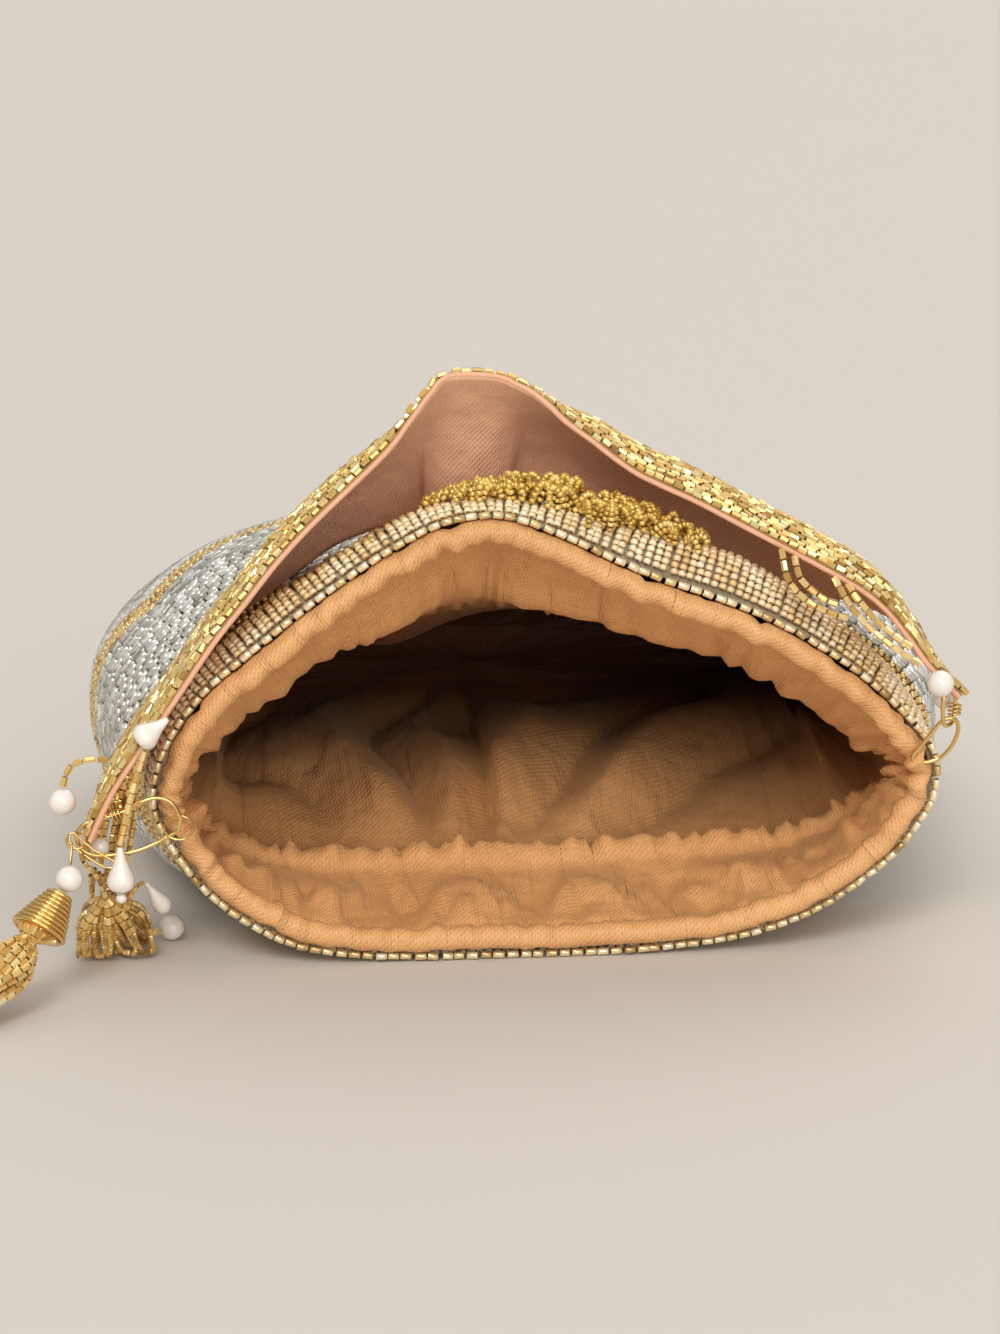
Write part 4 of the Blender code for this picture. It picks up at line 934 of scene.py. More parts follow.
# Lengths in mm: how far gathers reach from the corners, and the pleats of each part of the cloth
GATHER_REACH = 20
PUFF_PLEAT = 9.5
SEAM_PLEAT = 4.4
HEM_PLEAT = 15.0
CHANNEL_PLEAT = 5.2
BESIDE_PLEAT = 8.0
DEEP_PLEAT = 46.0
CORNER_PLEAT = 7.0


def crease(value, sharp):
    """A rounded ridge between narrow valleys, from 0 to 1."""
    return (1 - np.abs(np.mod(value, 1.0) * 2 - 1)) ** sharp


def bell(value, middle, width):
    return math.exp(-(((value - middle) / width) ** 2))


def lining():
    """The hem lip, drawn channel and pouch as one sheet, with painted shade that darkens it towards its end.
    """
    s = np.arange(LINING_SHARES) / LINING_SHARES
    loop = loop_at(MOUTH_LOOP, s)
    length = run_of(loop)
    corner, wide = near_corners(loop), near_corners(loop, GATHER_REACH)
    rows = []
    for y, floor_inset, top_inset, side_inset in catmull_rom(LINING_LINE, False, LINING_SUB):
        at = np.maximum(y, 0)
        point, normal = plain_point(s, at), body_normal(s, at, plain_point)
        flat = unit(np.stack([normal[:, 0], 0 * s, normal[:, 2]], axis=1))
        down = smooth_step((-flat[:, 2] - 0.15) / 0.7)
        up = smooth_step((flat[:, 2] - 0.15) / 0.6)
        inset = floor_inset * down + top_inset * up + side_inset * (1 - down - up).clip(0, 1)
        inset, behind = lining_folds(length, y, inset, corner, wide, down, up)
        row = point - flat * inset[:, None]
        row[:, 1] = behind
        rows.append(row)
    grid = np.array(rows)
    end = grid[-1].mean(axis=0)
    closing = [grid[-1] * (1 - t) + (end + (0, 2, 0)) * t for t in (0.3, 0.6, 0.85, 0.985)]
    grid = np.concatenate([grid, closing])
    uv = cloth_uv(length[None], run_of(grid)[:, None])
    mesh = grid_mesh("lining_cloth", grid, True, uv, flip=True)
    # The painted shade of the pouch grows with depth, faster higher up, with a little painted shade
    # everywhere past the channel
    depth, height = grid[..., 1].ravel() / POUCH_DEPTH, grid[..., 2].ravel() / POUCH_HEIGHT
    inside = smooth_step((np.maximum(depth, 0) * (0.04 + 2.3 * height) - 0.2) / 0.42)
    mark(mesh, "inside", np.maximum(inside, 0.16 * smooth_step((depth - 0.27) / 0.08)))
    thicken(new_object("lining_cloth", mesh, PEACH_SATIN, "bag", ["lining"]), 0.35)


def lining_folds(x, y, inset, corner, wide, down, up):
    """Gathers, puckers and folds of one row, from the length x along the mouth and y behind it."""
    def cloud(along, behind, layer):
        return np.array([noise.noise(Vector((a * along, behind, layer))) for a in x])

    out_in, out_back = inset.copy(), np.full(len(x), float(y))
    warp = cloud(0.05, y * 0.03, 1.0)
    small = cloud(0.22, y * 0.05, 5.0)
    # Puffs of the hem between its stitches
    lip = bell(y, -2.6, 2.4) if y < 1 else 0
    puff = crease(x / PUFF_PLEAT + 1.6 * warp, 0.8)
    out_back -= lip * (0.9 * puff + 1.5 * small) * (1 + 0.6 * corner)
    out_in += lip * (1.0 * small + 0.6 * puff)
    # The stitched line at the hem's inner edge, pulled tight
    pull = crease(x / SEAM_PLEAT + 2.2 * warp, 0.7)
    out_in += bell(y, 1.2, 1.8) * (-1.5 + 1.3 * pull + 2.2 * small)
    # Cloth between the hem and the drawn channel
    soft = cloud(0.045, y * 0.02 + 3.0, 9.0)
    ripple = crease(x / HEM_PLEAT + 2.4 * soft, 0.9) - 0.5
    out_in += bell(y, 17, 12) * (4.6 * soft + 2.6 * ripple + 1.6 * small) * (0.7 + 0.5 * down)
    # The channel with its small puckers
    pucker = crease(x / CHANNEL_PLEAT + 1.5 * warp + 0.01 * y, 0.8) - 0.5
    out_in += bell(y, 42, 4.5) * (2.1 * pucker + 2.2 * small + 2.0 * soft)
    out_in += bell(y, 42, 14.0) * 0.9 * (crease(x / BESIDE_PLEAT + 2.0 * warp, 0.9) - 0.5)
    # Deep soft folds of the loose cloth behind it
    deep = float(smooth_step((y - 46) / 30) * smooth_step((170 - y) / 30))
    large = np.array([noise.noise(Vector((a * 0.022 + 0.006 * y, y * 0.011, 2.0))) for a in x])
    ridge = crease(x / DEEP_PLEAT + 1.5 * large + 0.006 * y, 0.75)
    out_in += deep * (9.0 * large + 8.0 * (ridge - 0.55)) * (0.55 + 0.6 * down + 0.25 * up)
    out_in += deep * 1.4 * cloud(0.07, y * 0.05, 7.0)
    # Bunched gathers at the two corners
    bunch_share = bell(y, 13, 11) if y > -1 else 0.25 * bell(y, -1, 3)
    tuck = crease(x / CORNER_PLEAT + 2.6 * warp, 0.8) - 0.35
    out_in += bunch_share * wide * (3.2 * tuck + 2.2 * small + 1.8)
    out_back += bunch_share * wide * 2.0 * small
    return np.maximum(out_in, 2.3), out_back


# Strap
def strap_grid():
    """The strap's middle sheet, near edge to far edge, as the solid has it, made finer."""
    rows = spread(catmull_rom(STRAP_EDGE, False, 8), STRAP_STEPS + 1, False)
    edge = rows[:, :3]
    tangent = np.gradient(edge, axis=0)
    grid = []
    for (x, y, z, width, first, last), along in zip(rows, tangent):
        up = unit(np.array((-along[2], 0, along[0])))
        crown = min(1.0, 1.4 * math.exp(-(((x - STRAP_CROWN_X) / STRAP_CROWN_SPREAD) ** 2)))
        up = unit(up * (1 - crown) + np.array((0, 0, crown)))
        point = np.array((x, y, z))
        line = [point]
        step = width * STRAP_WIDTH / STRAP_COLUMNS
        for k in range(STRAP_COLUMNS):
            slope = math.radians(first + (last - first) * (k + 0.5) / STRAP_COLUMNS)
            point = point + step * (math.cos(slope) * np.array((0, 1, 0)) + math.sin(slope) * up)
            line.append(point)
        grid.append(line)
    grid = np.array(grid)
    fine = np.stack([catmull_rom(grid[:, i], False, 8) for i in range(grid.shape[1])], axis=1)
    fine = np.stack([catmull_rom(line, False, 5) for line in fine])
    across = np.linspace(0, 1, fine.shape[1])[None]
    middle = smooth_step((fine[..., 0] + 52) / 26) * smooth_step((66 - fine[..., 0]) / 26)
    fine[..., 2] -= STRAP_SAG * smooth_step((across - 0.35) / 0.65) * middle
    return fine


STRAP = strap_grid()


def sheet_normals(grid):
    return unit(np.cross(np.gradient(grid, axis=1), np.gradient(grid, axis=0)))


STRAP_NORMALS = sheet_normals(STRAP)
STRAP_ALONG = run_of(STRAP)
STRAP_ACROSS = np.linalg.norm(np.diff(STRAP, axis=1), axis=2).sum(axis=1)


def strap_at(array, u, w):
    """Values of a strap grid at shares u along and w across."""
    rows, columns = array.shape[:2]
    i, j = np.clip(u, 0, 1) * (rows - 1), np.clip(w, 0, 1) * (columns - 1)
    a, b = np.minimum(i.astype(int), rows - 2), np.minimum(j.astype(int), columns - 2)
    f, g = (i - a)[:, None], (j - b)[:, None]
    return ((array[a, b] * (1 - f) + array[a + 1, b] * f) * (1 - g)
            + (array[a, b + 1] * (1 - f) + array[a + 1, b + 1] * f) * g)


GROUND_LIFT = 1.0
STRAP_ROW_PITCH = 1.46
STRAP_BEAD_PITCH = 2.42
STRAP_BEAD_LIFT = 1.85


def strap_cloth():
    """The strap's satin lining, with its folded edges and soft wrinkles."""
    grid = STRAP.copy()
    rows, columns = grid.shape[:2]
    for i in range(rows):
        for j in range(columns):
            edge = min(j, columns - 1 - j) / 4
            wave = noise.noise(Vector(grid[i, j]) * 0.07) + 0.5 * noise.noise(Vector(grid[i, j]) * 0.2)
            grid[i, j] += STRAP_NORMALS[i, j] * 0.55 * wave * min(1.0, edge)
    w = np.linspace(0, 1, columns)
    uv = cloth_uv(STRAP_ALONG[:, None], STRAP_ACROSS[:, None] * w[None])
    mesh = grid_mesh("strap_satin_lining", grid, False, uv, flip=True)
    obj = new_object("strap_satin_lining", mesh, SALMON_SATIN, "handle", ["strap_lining"])
    thicken(obj, 0.6)
    for name, column in (("strap_near_piping", 0), ("strap_far_piping", columns - 1)):
        line = STRAP[::4, column] - STRAP_NORMALS[::4, column] * 0.35
        tube(name, line, 0.62, False, SALMON_SATIN, "handle", "strap_satin", smooth=3, sides=8)


def strap_ground():
    """The cloth that the strap's beads are sewn to."""
    grid = (STRAP - STRAP_NORMALS * GROUND_LIFT)[::4]
    w = np.linspace(0, 1, grid.shape[1])
    uv = cloth_uv(STRAP_ALONG[::4, None], STRAP_ACROSS[::4, None] * w[None])
    mesh = grid_mesh("strap_bead_ground", grid, False, uv)
    thicken(new_object("strap_bead_ground", mesh, STRAP_GROUND, "handle"), 0.5)


def strap_tubes():
    """Short gold tubes nose to tail along the strap, in rows from edge to edge."""
    rng = np.random.default_rng(21)
    rows = []
    for k in range(int(STRAP_WIDTH / STRAP_ROW_PITCH) + 1):
        reach = (k + 0.35) * STRAP_ROW_PITCH
        inside = STRAP_ACROSS > reach + 0.6
        if not inside.any():
            continue
        first, last = STRAP_ALONG[inside][[0, -1]]
        count = int((last - first) / STRAP_BEAD_PITCH)
        along = first + (np.arange(count) + rng.random()) / count * (last - first)
        along = np.clip(along + rng.normal(0, 0.12, count), first, last)
        u = np.interp(along, STRAP_ALONG, np.linspace(0, 1, len(STRAP_ALONG)))
        wide = np.interp(along, STRAP_ALONG, STRAP_ACROSS)
        w = (reach + rng.normal(0, 0.13, count)) / wide
        point, normal = strap_at(STRAP, u, w), unit(strap_at(STRAP_NORMALS, u, w))
        ahead = strap_at(STRAP, u + 0.004, w) - strap_at(STRAP, u - 0.004, w)
        lift = STRAP_BEAD_LIFT + rng.normal(0, 0.11, (count, 1)) + 0.25 * (rng.random((count, 1)) > 0.93)
        rows.append((point - normal * lift, unit(ahead) + rng.normal(0, 0.07, (count, 3)), -normal))
    centre, axis, side = gather(rows)
    side = rolled(axis, side, rng)
    size = lengths(len(centre), 0.82, 1.05, rng)
    tint = 0.52 + rng.normal(0, 0.25, len(centre))
    copies("strap_tubes", STRAP_TUBE, (centre, axis, side), tint, STRAP_GLASS, "handle",
           ["strap_beadwork"], smooth=False, size=size)


# Links, pearls and charms, at the places that the solids hold
RIM_RADIUS = 0.95
HEM_ROOT = 2 * RIM_RADIUS + 0.1 + 0.3 + 0.4 + 0.3
LINK_WIRE = 0.5
LINK_Y = -HEM_DEPTH * 1.6 - 0.4 - 1.5 - LINK_WIRE
LEFT_PIVOT = np.array((LEFT_CORNER[0] + HEM_ROOT + 0.5 * HEM_WIDTH, LINK_Y, LEFT_CORNER[1]))
RIGHT_PIVOT = np.array((RIGHT_CORNER[0] - HEM_ROOT - 0.29 * HEM_WIDTH, -0.78 * HEM_DEPTH * 1.6,
                        RIGHT_CORNER[1]))
AXIS = unit(RIGHT_PIVOT - LEFT_PIVOT)
RING_TILT = math.radians(40)
RING_DIRECTION = np.array((0, math.cos(RING_TILT), math.sin(RING_TILT)))
RING_RADIUS = 3.2
RING_WIRE = 0.32
COIL_RADIUS = 1.38
COIL_PITCH = 0.86
COIL_TURNS = 3
COIL_WIRE = 0.28
RING_CENTRE = LEFT_PIVOT + RING_DIRECTION * 0.28 * RING_RADIUS
CHARM_CENTRE = LEFT_PIVOT + AXIS * (-22.9 / AXIS[0])
CHARM_RADIUS = 2.2
PEARL = 3.05
SMALL_PEARL = 2.3
TEAR_TOP = np.array((-98.5, -11.2, 32.6))
TEAR_LENGTH = 10.5
LEFT_LINK = [
    (0.25, 3.6), (0.2, 1.8), (-0.1, 0.3), (-1.0, -0.5), (-2.7, -1.45), (-5.5, -2.9), (-9.5, -4.4),
    (-14.0, -5.1), (-18.5, -5.2), (-21.6, -3.8), (-22.9, -0.6), (-21.0, 2.2),
    (-16.8, 3.4), (-12.2, 4.9), (-8.6, 6.9), (-4.6, 7.9), (-1.5, 6.6),
]
LOWER_LINK = [
    (-1.7, 0), (1.5, 0.1), (3.9, 1.1), (5.8, 3.5), (6.8, 6.4), (6.8, 8.8), (5.8, 10.4),
    (4.2, 10.9), (2.6, 10.1), (1.0, 7.8), (-0.9, 5.1), (-2.7, 2.6), (-3.0, 1.0),
]
UPPER_LINK = [
    (0, 0), (1.7, 0.4), (2.6, 2.0), (2.9, 4.6), (2.7, 7.0), (1.7, 8.5), (0, 8.9),
    (-1.7, 8.5), (-2.7, 7.0), (-2.9, 4.6), (-2.6, 2.0), (-1.7, 0.4),
]


def circle(centre, radius, count):
    """Points of a ring that stands in the rings' tilted plane."""
    turn = np.arange(count)[:, None] / count * math.tau
    return centre + radius * (np.cos(turn) * np.array((1, 0, 0)) + np.sin(turn) * RING_DIRECTION)


def upper_link_line():
    turn = math.radians(48)
    foot = RIGHT_PIVOT + np.array((4.3, -0.3 * 10.9, 10.9 - 2 * LINK_WIRE - 0.4))
    along = np.array((math.cos(turn), math.sin(turn), 0))
    return [foot + along * p + np.array((0, 0, q)) for p, q in UPPER_LINK]


def coil(name, centre, direction, replaces):
    """A few turns of thin wire wound round a link."""
    direction = unit(np.array(direction, float))
    side = unit(np.cross(direction, (0, 1, 0)))
    other = np.cross(direction, side)
    line = []
    for i in range(COIL_TURNS * 10 + 1):
        turn = i / 10 * math.tau
        line.append(centre + direction * (i / 10 - COIL_TURNS / 2) * COIL_PITCH
                    + COIL_RADIUS * (side * math.cos(turn) + other * math.sin(turn)))
    tube(name, line, COIL_WIRE, False, GOLD_WIRE, "handle", "gold_wire", replaces, smooth=2, sides=8)


def wire(name, points, radius, body, replaces=(), **form):
    """A closed loop of gold wire."""
    tube(name, points, radius, True, GOLD_WIRE, body, "gold_wire", replaces, **form)


def links():
    """The three wire links, the two rings and the two wraps."""
    left = [LEFT_PIVOT + np.array((x, 0, z)) for x, z in LEFT_LINK]
    lower = [RIGHT_PIVOT + np.array((x, -z * 0.3, z + x * AXIS[2])) for x, z in LOWER_LINK]
    upper = upper_link_line()
    wire("long_wire_link", left, LINK_WIRE, "handle", ["left_link"])
    wire("pear_wire_link", lower, LINK_WIRE, "handle", ["lower_right_link"])
    wire("small_wire_link", upper, LINK_WIRE, "handle", ["upper_right_link"])
    wire("hem_ring", circle(RING_CENTRE, RING_RADIUS, 16), RING_WIRE, "left_ring", ["left_ring"], smooth=4)
    wire("charm_wire_ring", circle(CHARM_CENTRE, CHARM_RADIUS, 12), RING_WIRE, "charm_ring", ["charm_ring"],
         smooth=4)
    coil("left_binding", (left[12] + left[13] * 2) / 3, left[13] - left[12], ["left_wrap"])
    coil("right_binding", (upper[2] + upper[3]) / 2, upper[3] - upper[2], ["right_wrap"])


ROUND = ball(1.0, 28, 18)


def pearl(name, centre, radius, body, replaces=()):
    frames = np.array([centre], float), np.array([(0.2, 0.3, 1.0)]), np.array([(1.0, 0, 0)])
    copies(name, ROUND, frames, [0.5], PEARL_SKIN, body, replaces, size=radius)


TEAR_PROFILE = [
    (0, 1.0), (0.15, 0.998), (0.2, 0.985), (0.24, 0.94), (0.29, 0.87), (0.37, 0.78), (0.48, 0.67),
    (0.62, 0.565), (0.77, 0.47), (0.9, 0.38), (0.98, 0.3), (1.0, 0.24), (0.97, 0.17), (0.88, 0.1),
    (0.72, 0.05), (0.5, 0.017), (0.26, 0.004), (0, 0),
]


def teardrop(name, tip, foot, radius, body, replaces):
    """A pearl drop, turned from its profile and set between its tip and its foot."""
    tip, foot = np.array(tip, float), np.array(foot, float)
    length = np.linalg.norm(tip - foot)
    mesh = bpy.data.meshes.new(name)
    verts = [(r * radius * MM, 0, h * length * MM) for r, h in TEAR_PROFILE]
    mesh.from_pydata(verts, [(i, i + 1) for i in range(len(verts) - 1)], [])
    helper = bpy.data.objects.new(name, mesh)
    bpy.context.scene.collection.objects.link(helper)
    screw = helper.modifiers.new("turned", "SCREW")
    screw.steps = screw.render_steps = 28
    screw.use_merge_vertices = True
    screw.merge_threshold = 0.00001
    apply_modifiers(helper)
    made = helper.data
    turn = Vector((0, 0, 1)).rotation_difference(Vector(tip - foot)).to_matrix().to_4x4()
    made.transform(Matrix.Translation(world(foot)) @ turn)
    made.shade_smooth()
    made.materials.append(PEARL_SKIN)
    dress(helper, body, replaces)


def bead_line(points, length):
    """Places for tube beads threaded nose to tail along a curve through points."""
    line = catmull_rom(points, False, 10)
    along = run_of(line)
    count = max(1, int(along[-1] / (length + BEAD_GAP)))
    at = (np.arange(count) + 0.5) * along[-1] / count
    ends = [np.array([np.interp(at + d, along, line[:, k]) for k in range(3)]).T for d in (-0.5, 0.5)]
    return (ends[0] + ends[1]) / 2, unit(ends[1] - ends[0])


def strand(name, points, body, replaces, seed, scale=0.95):
    """One string of tube beads."""
    rng = np.random.default_rng(seed)
    centre, axis = bead_line(points, TUBE_LENGTH * scale)
    count = len(centre)
    side = rng.normal(0, 1, (count, 3))
    tint = 0.55 + rng.normal(0, 0.22, count)
    copies(name, SHORT_TUBE, (centre, axis, side), tint, GOLD_GLASS, body, replaces,
           smooth=False, size=scale)


def threaded(points, length, uneven, rng, low=0.0):
    """One string among many: its beads and its own shade."""
    centre, axis = bead_line(points, length)
    centre[:, 2] = np.maximum(centre[:, 2], low)
    return centre, axis, rng.normal(0, 1, (len(centre), 3)), np.full(len(centre), rng.normal(0, uneven))


def strings(name, rows, middle, scale, look, body, rng, replaces=()):
    """Many strings of tube beads as one piece."""
    centre, axis, side, shade = gather(rows)
    tint = middle + shade + rng.normal(0, 0.2, len(shade))
    copies(name, SHORT_TUBE, (centre, axis, side), tint, look, body, replaces,
           smooth=False, size=scale)


ARC_PEARL = np.array((-111.2, -4.5, 41.6))
RIGHT_STRANDS = [
    (51.8, [(53.2, -4.6, 89.4), (57.2, -5.0, 84.8), (62.0, -5.2, 82.0), (67.2, -5.2, 80.2)]),
    (54.8, [(55.8, -4.8, 90.0), (59.1, -5.2, 86.5), (62.2, -5.4, 84.5), (64.6, -5.4, 83.6)]),
    (63.8, [(66.6, -6.6, 84.4), (70.9, -8.4, 79.3), (75.2, -10.0, 75.6), (79.6, -11.4, 72.6),
            (82.6, -12.6, 70.8)]),
    (66.6, [(68.6, -7.0, 85.3), (72.6, -8.8, 80.6), (76.8, -10.4, 77.1), (80.6, -11.8, 74.6)]),
]


def near_edge_at(x):
    """The place on the strap's near edge at x."""
    line = STRAP[:, 0]
    return np.array([np.interp(x, line[:, 0], line[:, k]) for k in range(3)])


def strap_pearls_and_strands():
    """What is threaded on the strap's edge and its two ends."""
    pearl("corner_pearl", (87.0, -13.65, 66.6), PEARL, "handle", ["right_strap_pearl"])
    pearl("back_pearl", (91.0, -1.1, 59.6), SMALL_PEARL, "handle", ["right_back_pearl"])
    pearl("arc_end_pearl", ARC_PEARL, PEARL, "handle", ["arc_pearl"])
    pearl("link_side_pearl", (-103.2, -3.85, 30.6), SMALL_PEARL, "handle", ["link_pearl"])
    teardrop("strap_teardrop", (-87.2, -12.6, 62.4), (-94.0, -12.6, 57.2), 3.1, "handle",
             ["left_strap_teardrop"])
    arc = [(-100.5, -5.0, 51.2), (-105.4, -5.0, 51.4), (-109.4, -4.8, 49.6), ARC_PEARL + (0, 0, PEARL + 0.35)]
    strand("arc_tubes", arc, "handle", ["arc_strand"], 31)
    seat = np.array((0, -1.65, 0))
    drop = [near_edge_at(-92.6) + seat, (-95.2, -11.3, 46.5), (-97.0, -11.4, 39.5), TEAR_TOP + (0, 0, 0.45)]
    strand("teardrop_tubes", drop, "handle", ["teardrop_strand"], 32)
    for k, (x, points) in enumerate(RIGHT_STRANDS):
        strand(f"right_tubes_{k + 1}", [near_edge_at(x) + seat, *points], "handle", [f"right_strand_{k + 1}"],
               33 + k)


def strap_end_strands():
    """Loose strands hanging from the strap's left end, behind the long link, and a knotted wire."""
    rng = np.random.default_rng(46)
    rows = []
    for k in range(END_STRANDS):
        share = (k + 0.5) / END_STRANDS
        top = near_edge_at(-104.4 + 10.6 * share) + (0, 0.6 + 2.2 * rng.random(), -0.6)
        foot = np.array((-106.2 + 8.6 * share + rng.normal(0, 0.6), -2.4 + 3.4 * rng.random(),
                         25.2 + 2.6 * rng.random()))
        bow = np.array((-1.6 + 2.4 * share + rng.normal(0, 0.5), rng.normal(0, 0.4), 0))
        points = [top, top * 0.66 + foot * 0.34 + bow * 0.8, top * 0.33 + foot * 0.67 + bow, foot]
        rows.append(threaded(points, 2.05, 0.12, rng))
    strings("strap_end_strands", rows, 0.55, 0.8, STRAP_GLASS, "handle", rng)
    triangle = [(-109.0, -9.4, 35.6), (-104.6, -10.6, 32.2), (-99.2, -11.0, 28.6), (-101.8, -10.6, 27.8),
                (-106.6, -10.2, 30.8), (-109.6, -9.8, 33.6)]
    wire("knotted_wire", triangle, 0.3, "handle", smooth=6)


def teardrop_charm():
    """The drop that hangs free at the left, with its small foot pearl."""
    foot = TEAR_TOP - (0, 0, TEAR_LENGTH)
    teardrop("swinging_teardrop", TEAR_TOP, foot, 3.15, "teardrop", ["teardrop_charm"])
    pearl("teardrop_foot_pearl", foot - (0, 0, 1.5), 1.2, "teardrop", ["teardrop_tip_pearl"])


def on_charm_ring(degrees):
    turn = math.radians(degrees)
    way = np.array((1, 0, 0)) * math.cos(turn) + RING_DIRECTION * math.sin(turn)
    return CHARM_CENTRE + CHARM_RADIUS * way


TASSEL_PIVOT = on_charm_ring(-118)
BUNCH_PIVOT = on_charm_ring(-62)
TASSEL_PEARL = TASSEL_PIVOT + (-0.6, -4.2, -6.0)
TASSEL_LINE = unit(np.array((-0.5, -0.5, -0.70)))
CAP_TOP = TASSEL_PEARL + TASSEL_LINE * (PEARL + 0.4)
CAP_LENGTH = 11.0
EYE_RADIUS = 1.15
CAP_TURNS = 9
CAP_STEPS = 28
CAP_END = CAP_TOP + TASSEL_LINE * CAP_LENGTH
SKIRT_AHEAD = unit(np.array((-0.74, -0.66, 0.0)))
SKIRT_SIDE = np.array((-SKIRT_AHEAD[1], SKIRT_AHEAD[0], 0))
SKIRT_LENGTH = 44
END_STRANDS = 13
BUNCH_LOOPS = 34
BUNCH_STRANDS = 9
TASSEL_STRANDS = 46
GOLDEN_TURN = 2.39996


def tassel():
    """Eye, pearl, wound cap and skirt, hanging from the charm ring."""
    down = unit(TASSEL_PEARL - TASSEL_PIVOT)
    side = unit(np.cross((1, 0, 0), down))
    reach = np.linalg.norm(TASSEL_PEARL - TASSEL_PIVOT) - PEARL - 0.52
    eye = []
    for turn in np.arange(12) / 12 * math.tau:
        centre = 0 if math.cos(turn) < 0 else reach - EYE_RADIUS
        eye.append(TASSEL_PIVOT + down * (centre + EYE_RADIUS * math.cos(turn))
                   + side * EYE_RADIUS * math.sin(turn))
    wire("tassel_wire_eye", eye, 0.22, "tassel", ["tassel_eye"], smooth=4)
    pearl("tassel_top_pearl", TASSEL_PEARL, PEARL, "tassel", ["tassel_pearl"])
    across = unit(np.cross(TASSEL_LINE, (0, 0, 1)))
    other = np.cross(TASSEL_LINE, across)
    helix = []
    for i in range(CAP_TURNS * CAP_STEPS + 1):
        share = i / (CAP_TURNS * CAP_STEPS)
        turn = i / CAP_STEPS * math.tau
        radius = 2.3 + 3.75 * share ** 0.9
        helix.append(CAP_TOP + TASSEL_LINE * (0.5 + share * (CAP_LENGTH - 1.0))
                     + radius * (across * math.cos(turn) + other * math.sin(turn)))
    tube("wound_cap", helix, 0.6, False, CAP_WIRE, "tassel", "cap_wire", ["tassel_cap"], smooth=1, sides=8)
    core = [CAP_TOP + TASSEL_LINE * t for t in (0.3, 4, 8, CAP_LENGTH - 0.2)]
    tube("cap_core", core, 5.6, False, CAP_WIRE, "tassel", "cap_wire", smooth=3, sides=20,
         taper=lambda t: (2.1 + 3.5 * t) / 5.6)
    tassel_strands(across, other)


def tassel_strands(across, other):
    """The skirt's strings, from the cap down to the table and out over it."""
    rng = np.random.default_rng(41)
    rows = []
    for k in range(TASSEL_STRANDS):
        ring = 5.0 * math.sqrt((k + 0.5) / TASSEL_STRANDS)
        turn = k * GOLDEN_TURN
        a, b = ring * math.cos(turn), ring * math.sin(turn)
        start = CAP_END + across * a + other * b - TASSEL_LINE * 0.6
        mid = CAP_END + TASSEL_LINE * 6 + SKIRT_AHEAD * 2
        # Strands fan out sideways, fall to the table and lie over each other there
        spread_by, high = rng.normal(0, 1), rng.random()
        level = 1.0 + 7.2 * high * (1 - 0.3 * abs(spread_by))
        points = [start, mid + SKIRT_SIDE * a * 1.25 + np.array((0, 0, b * 0.9))]
        reach = SKIRT_LENGTH + rng.normal(0, 2.0)
        for share in (0.3, 0.55, 0.8, 1.0):
            out = SKIRT_SIDE * (a * 1.3 * (1 - share) + spread_by * 5.2 * share + rng.normal(0, 0.5))
            drop = (mid[2] + b * 0.9) * (1 - share) ** 2.1 + level * (1 - (1 - share) ** 2.1)
            spot = mid + SKIRT_AHEAD * share * (reach - 8) + out
            points.append(np.array((spot[0], spot[1], max(drop + rng.normal(0, 0.3), 0.85))))
        rows.append(threaded(points, 2.35, 0.1, rng, 0.82))
    strings("tassel_strands", rows, 0.5, 0.93, GOLD_GLASS, "tassel", rng, ["tassel_skirt"])


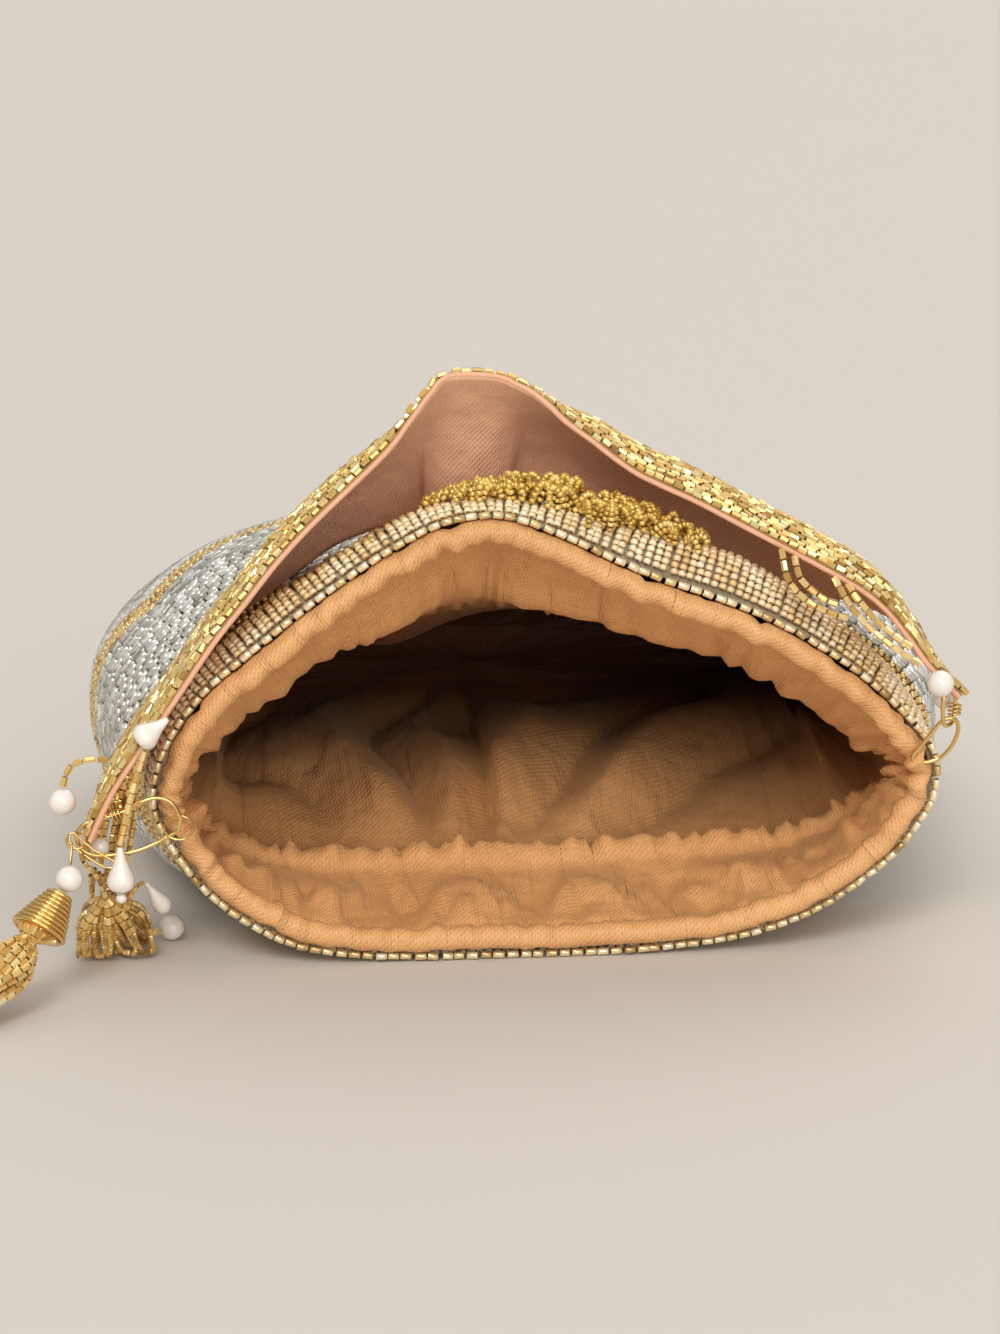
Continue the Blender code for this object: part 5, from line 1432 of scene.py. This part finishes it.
def bunch():
    """Loops of beads gathered under the strap's end, down to the table."""
    rng = np.random.default_rng(42)
    hanger = [BUNCH_PIVOT + (0, -0.96, -0.8), BUNCH_PIVOT + (0.6, -1.0, -3.2), (-104.2, -6.2, 24.8),
              (-102.8, -3.4, 20.6), (-102.3, -2.15, 17.95)]
    strand("bunch_hanger_tubes", hanger, "bunch", ["bunch_hanger"], 43, 0.75)
    knot = np.array((-102.3, -1.0, 17.4))
    rows = []
    for k in range(BUNCH_LOOPS):
        angle = (k + 0.5) / BUNCH_LOOPS
        lean = -0.6 + 1.3 * angle + rng.normal(0, 0.08)
        depth = rng.uniform(-1, 1)
        foot = np.array((-101.0 + lean * 11.5, 14.5 + depth * 10.0, 0.95 + rng.random() * 3.2))
        wide = rng.uniform(1.2, 2.6)
        side = unit(np.cross(foot - knot, rng.normal(0, 1, 3)))
        belly = (knot + foot) / 2 + np.array((lean * 2.6, depth * 1.2 - 1.0, 1.2))
        low = max(foot[2], 0.95)
        points = [knot + side * 0.4, belly + side * wide, (*(foot + side * wide * 0.8)[:2], low + 0.8),
                  (*foot[:2], low), (*(foot - side * wide * 0.8)[:2], low + 0.8), belly - side * wide,
                  knot - side * 0.4]
        rows.append(threaded(points, 2.0, 0.1, rng, 0.8))
    for k in range(BUNCH_STRANDS):
        share = (k + 0.5) / BUNCH_STRANDS
        top = np.array((-106.0 + 8.4 * share, -0.6 + 2.6 * rng.random(), 22.8 + rng.random()))
        foot = np.array((-107.0 + 12.0 * share + rng.normal(0, 0.8), 5.0 + 9.0 * rng.random(),
                         3.0 + 6.0 * rng.random()))
        bow = np.array((rng.normal(0, 0.8), 0.5 + rng.random(), 1.2))
        points = [top, top * 0.62 + foot * 0.38 + bow, top * 0.3 + foot * 0.7 + bow, foot]
        rows.append(threaded(points, 2.05, 0.1, rng))
    strings("bunch_loops", rows, 0.5, 0.8, GOLD_GLASS, "bunch", rng, ["loop_bunch"])
    table_pearl = np.array((-87.4, 20.0, PEARL))
    route = [(-101.5, 2.0, 13.5), (-97.4, 7.0, 8.0), (-92.8, 14.6, 3.4), table_pearl + (-2.67, -2.1, 0.1)]
    strand("table_pearl_tubes", route, "bunch", ["table_pearl_strand"], 44)
    pearl("table_round_pearl", table_pearl, PEARL, "bunch", ["table_pearl"])
    route = [(-98.0, 4.6, 13.4), (-96.3, 4.8, 16.6), (-94.8, 5.2, 18.4), (-93.5, 5.7, 18.9)]
    strand("side_tubes", route, "bunch", ["side_strand"], 45, 0.7)
    teardrop("side_pearl_drop", (-93.0, 5.9, 18.6), (-88.6, 9.3, 10.8), SMALL_PEARL, "bunch",
             ["side_teardrop"])


# Stage
def floor():
    deselect()
    bpy.ops.mesh.primitive_plane_add(size=FLOOR_SIZE, location=(0, 0, 0))
    plane = bpy.context.object
    plane.name = "studio_floor"
    made, tree, shader = shader_of("pale_floor")
    feed(tree, shader, {"Base Color": (0.66, 0.62, 0.57, 1), "Roughness": 0.7, "Specular IOR Level": 0.25})
    plane.data.materials.append(made)


def sun(name, direction, strength, spread_deg, colour):
    data = bpy.data.lights.new(name, "SUN")
    data.energy = strength
    data.angle = math.radians(spread_deg)
    data.color = colour
    obj = bpy.data.objects.new(name, data)
    bpy.context.scene.collection.objects.link(obj)
    obj.rotation_euler = Vector(direction).to_track_quat("Z", "Y").to_euler()


def lights():
    """Soft suns from in front and above, and a sky that is pale only where the camera sees it."""
    for values in SUNS:
        sun(*values)
    made = bpy.context.scene.world or bpy.data.worlds.new("studio")
    bpy.context.scene.world = made
    made.use_nodes = True
    tree = made.node_tree
    places = node(tree, "TexCoord").outputs["Generated"]
    parts = node(tree, "SeparateXYZ", {0: places})
    height = node(tree, "MapRange", {"Value": parts.outputs["Z"], "From Min": -0.1, "From Max": 0.7})
    lit = mix_colour(tree, height.outputs[0], SKY_LOW, SKY_HIGH)
    seen = node(tree, "LightPath").outputs["Is Camera Ray"]
    feed(tree, tree.nodes["Background"], {"Color": mix_colour(tree, seen, lit, BACKDROP),
                                          "Strength": SKY_STRENGTH})


def camera():
    """The photo's view."""
    a, e = math.radians(CAMERA_AZIMUTH), math.radians(CAMERA_ELEVATION)
    back = Vector((math.sin(a) * math.cos(e), -math.cos(a) * math.cos(e), math.sin(e)))
    data = bpy.data.cameras.new("camera")
    data.lens = CAMERA_LENS
    data.sensor_width = SENSOR_WIDTH
    data.clip_start = 0.01
    obj = bpy.data.objects.new("camera", data)
    bpy.context.scene.collection.objects.link(obj)
    obj.location = Vector(world(CAMERA_TARGET)) + back * CAMERA_DISTANCE * MM
    turn = back.to_track_quat("Z", "Y").to_matrix() @ Matrix.Rotation(math.radians(CAMERA_ROLL), 3, "Z")
    obj.rotation_euler = turn.to_euler()
    bpy.context.scene.camera = obj
    bpy.context.scene.view_settings.view_transform = "Standard"


camera()
lights()
floor()
shell_cloth()
collar_seeds()
neck_seeds()
body_beads()
tail_seeds()
rim_tubes()
ruffle_loops()
lining()
strap_cloth()
strap_ground()
strap_tubes()
links()
strap_pearls_and_strands()
strap_end_strands()
teardrop_charm()
tassel()
bunch()
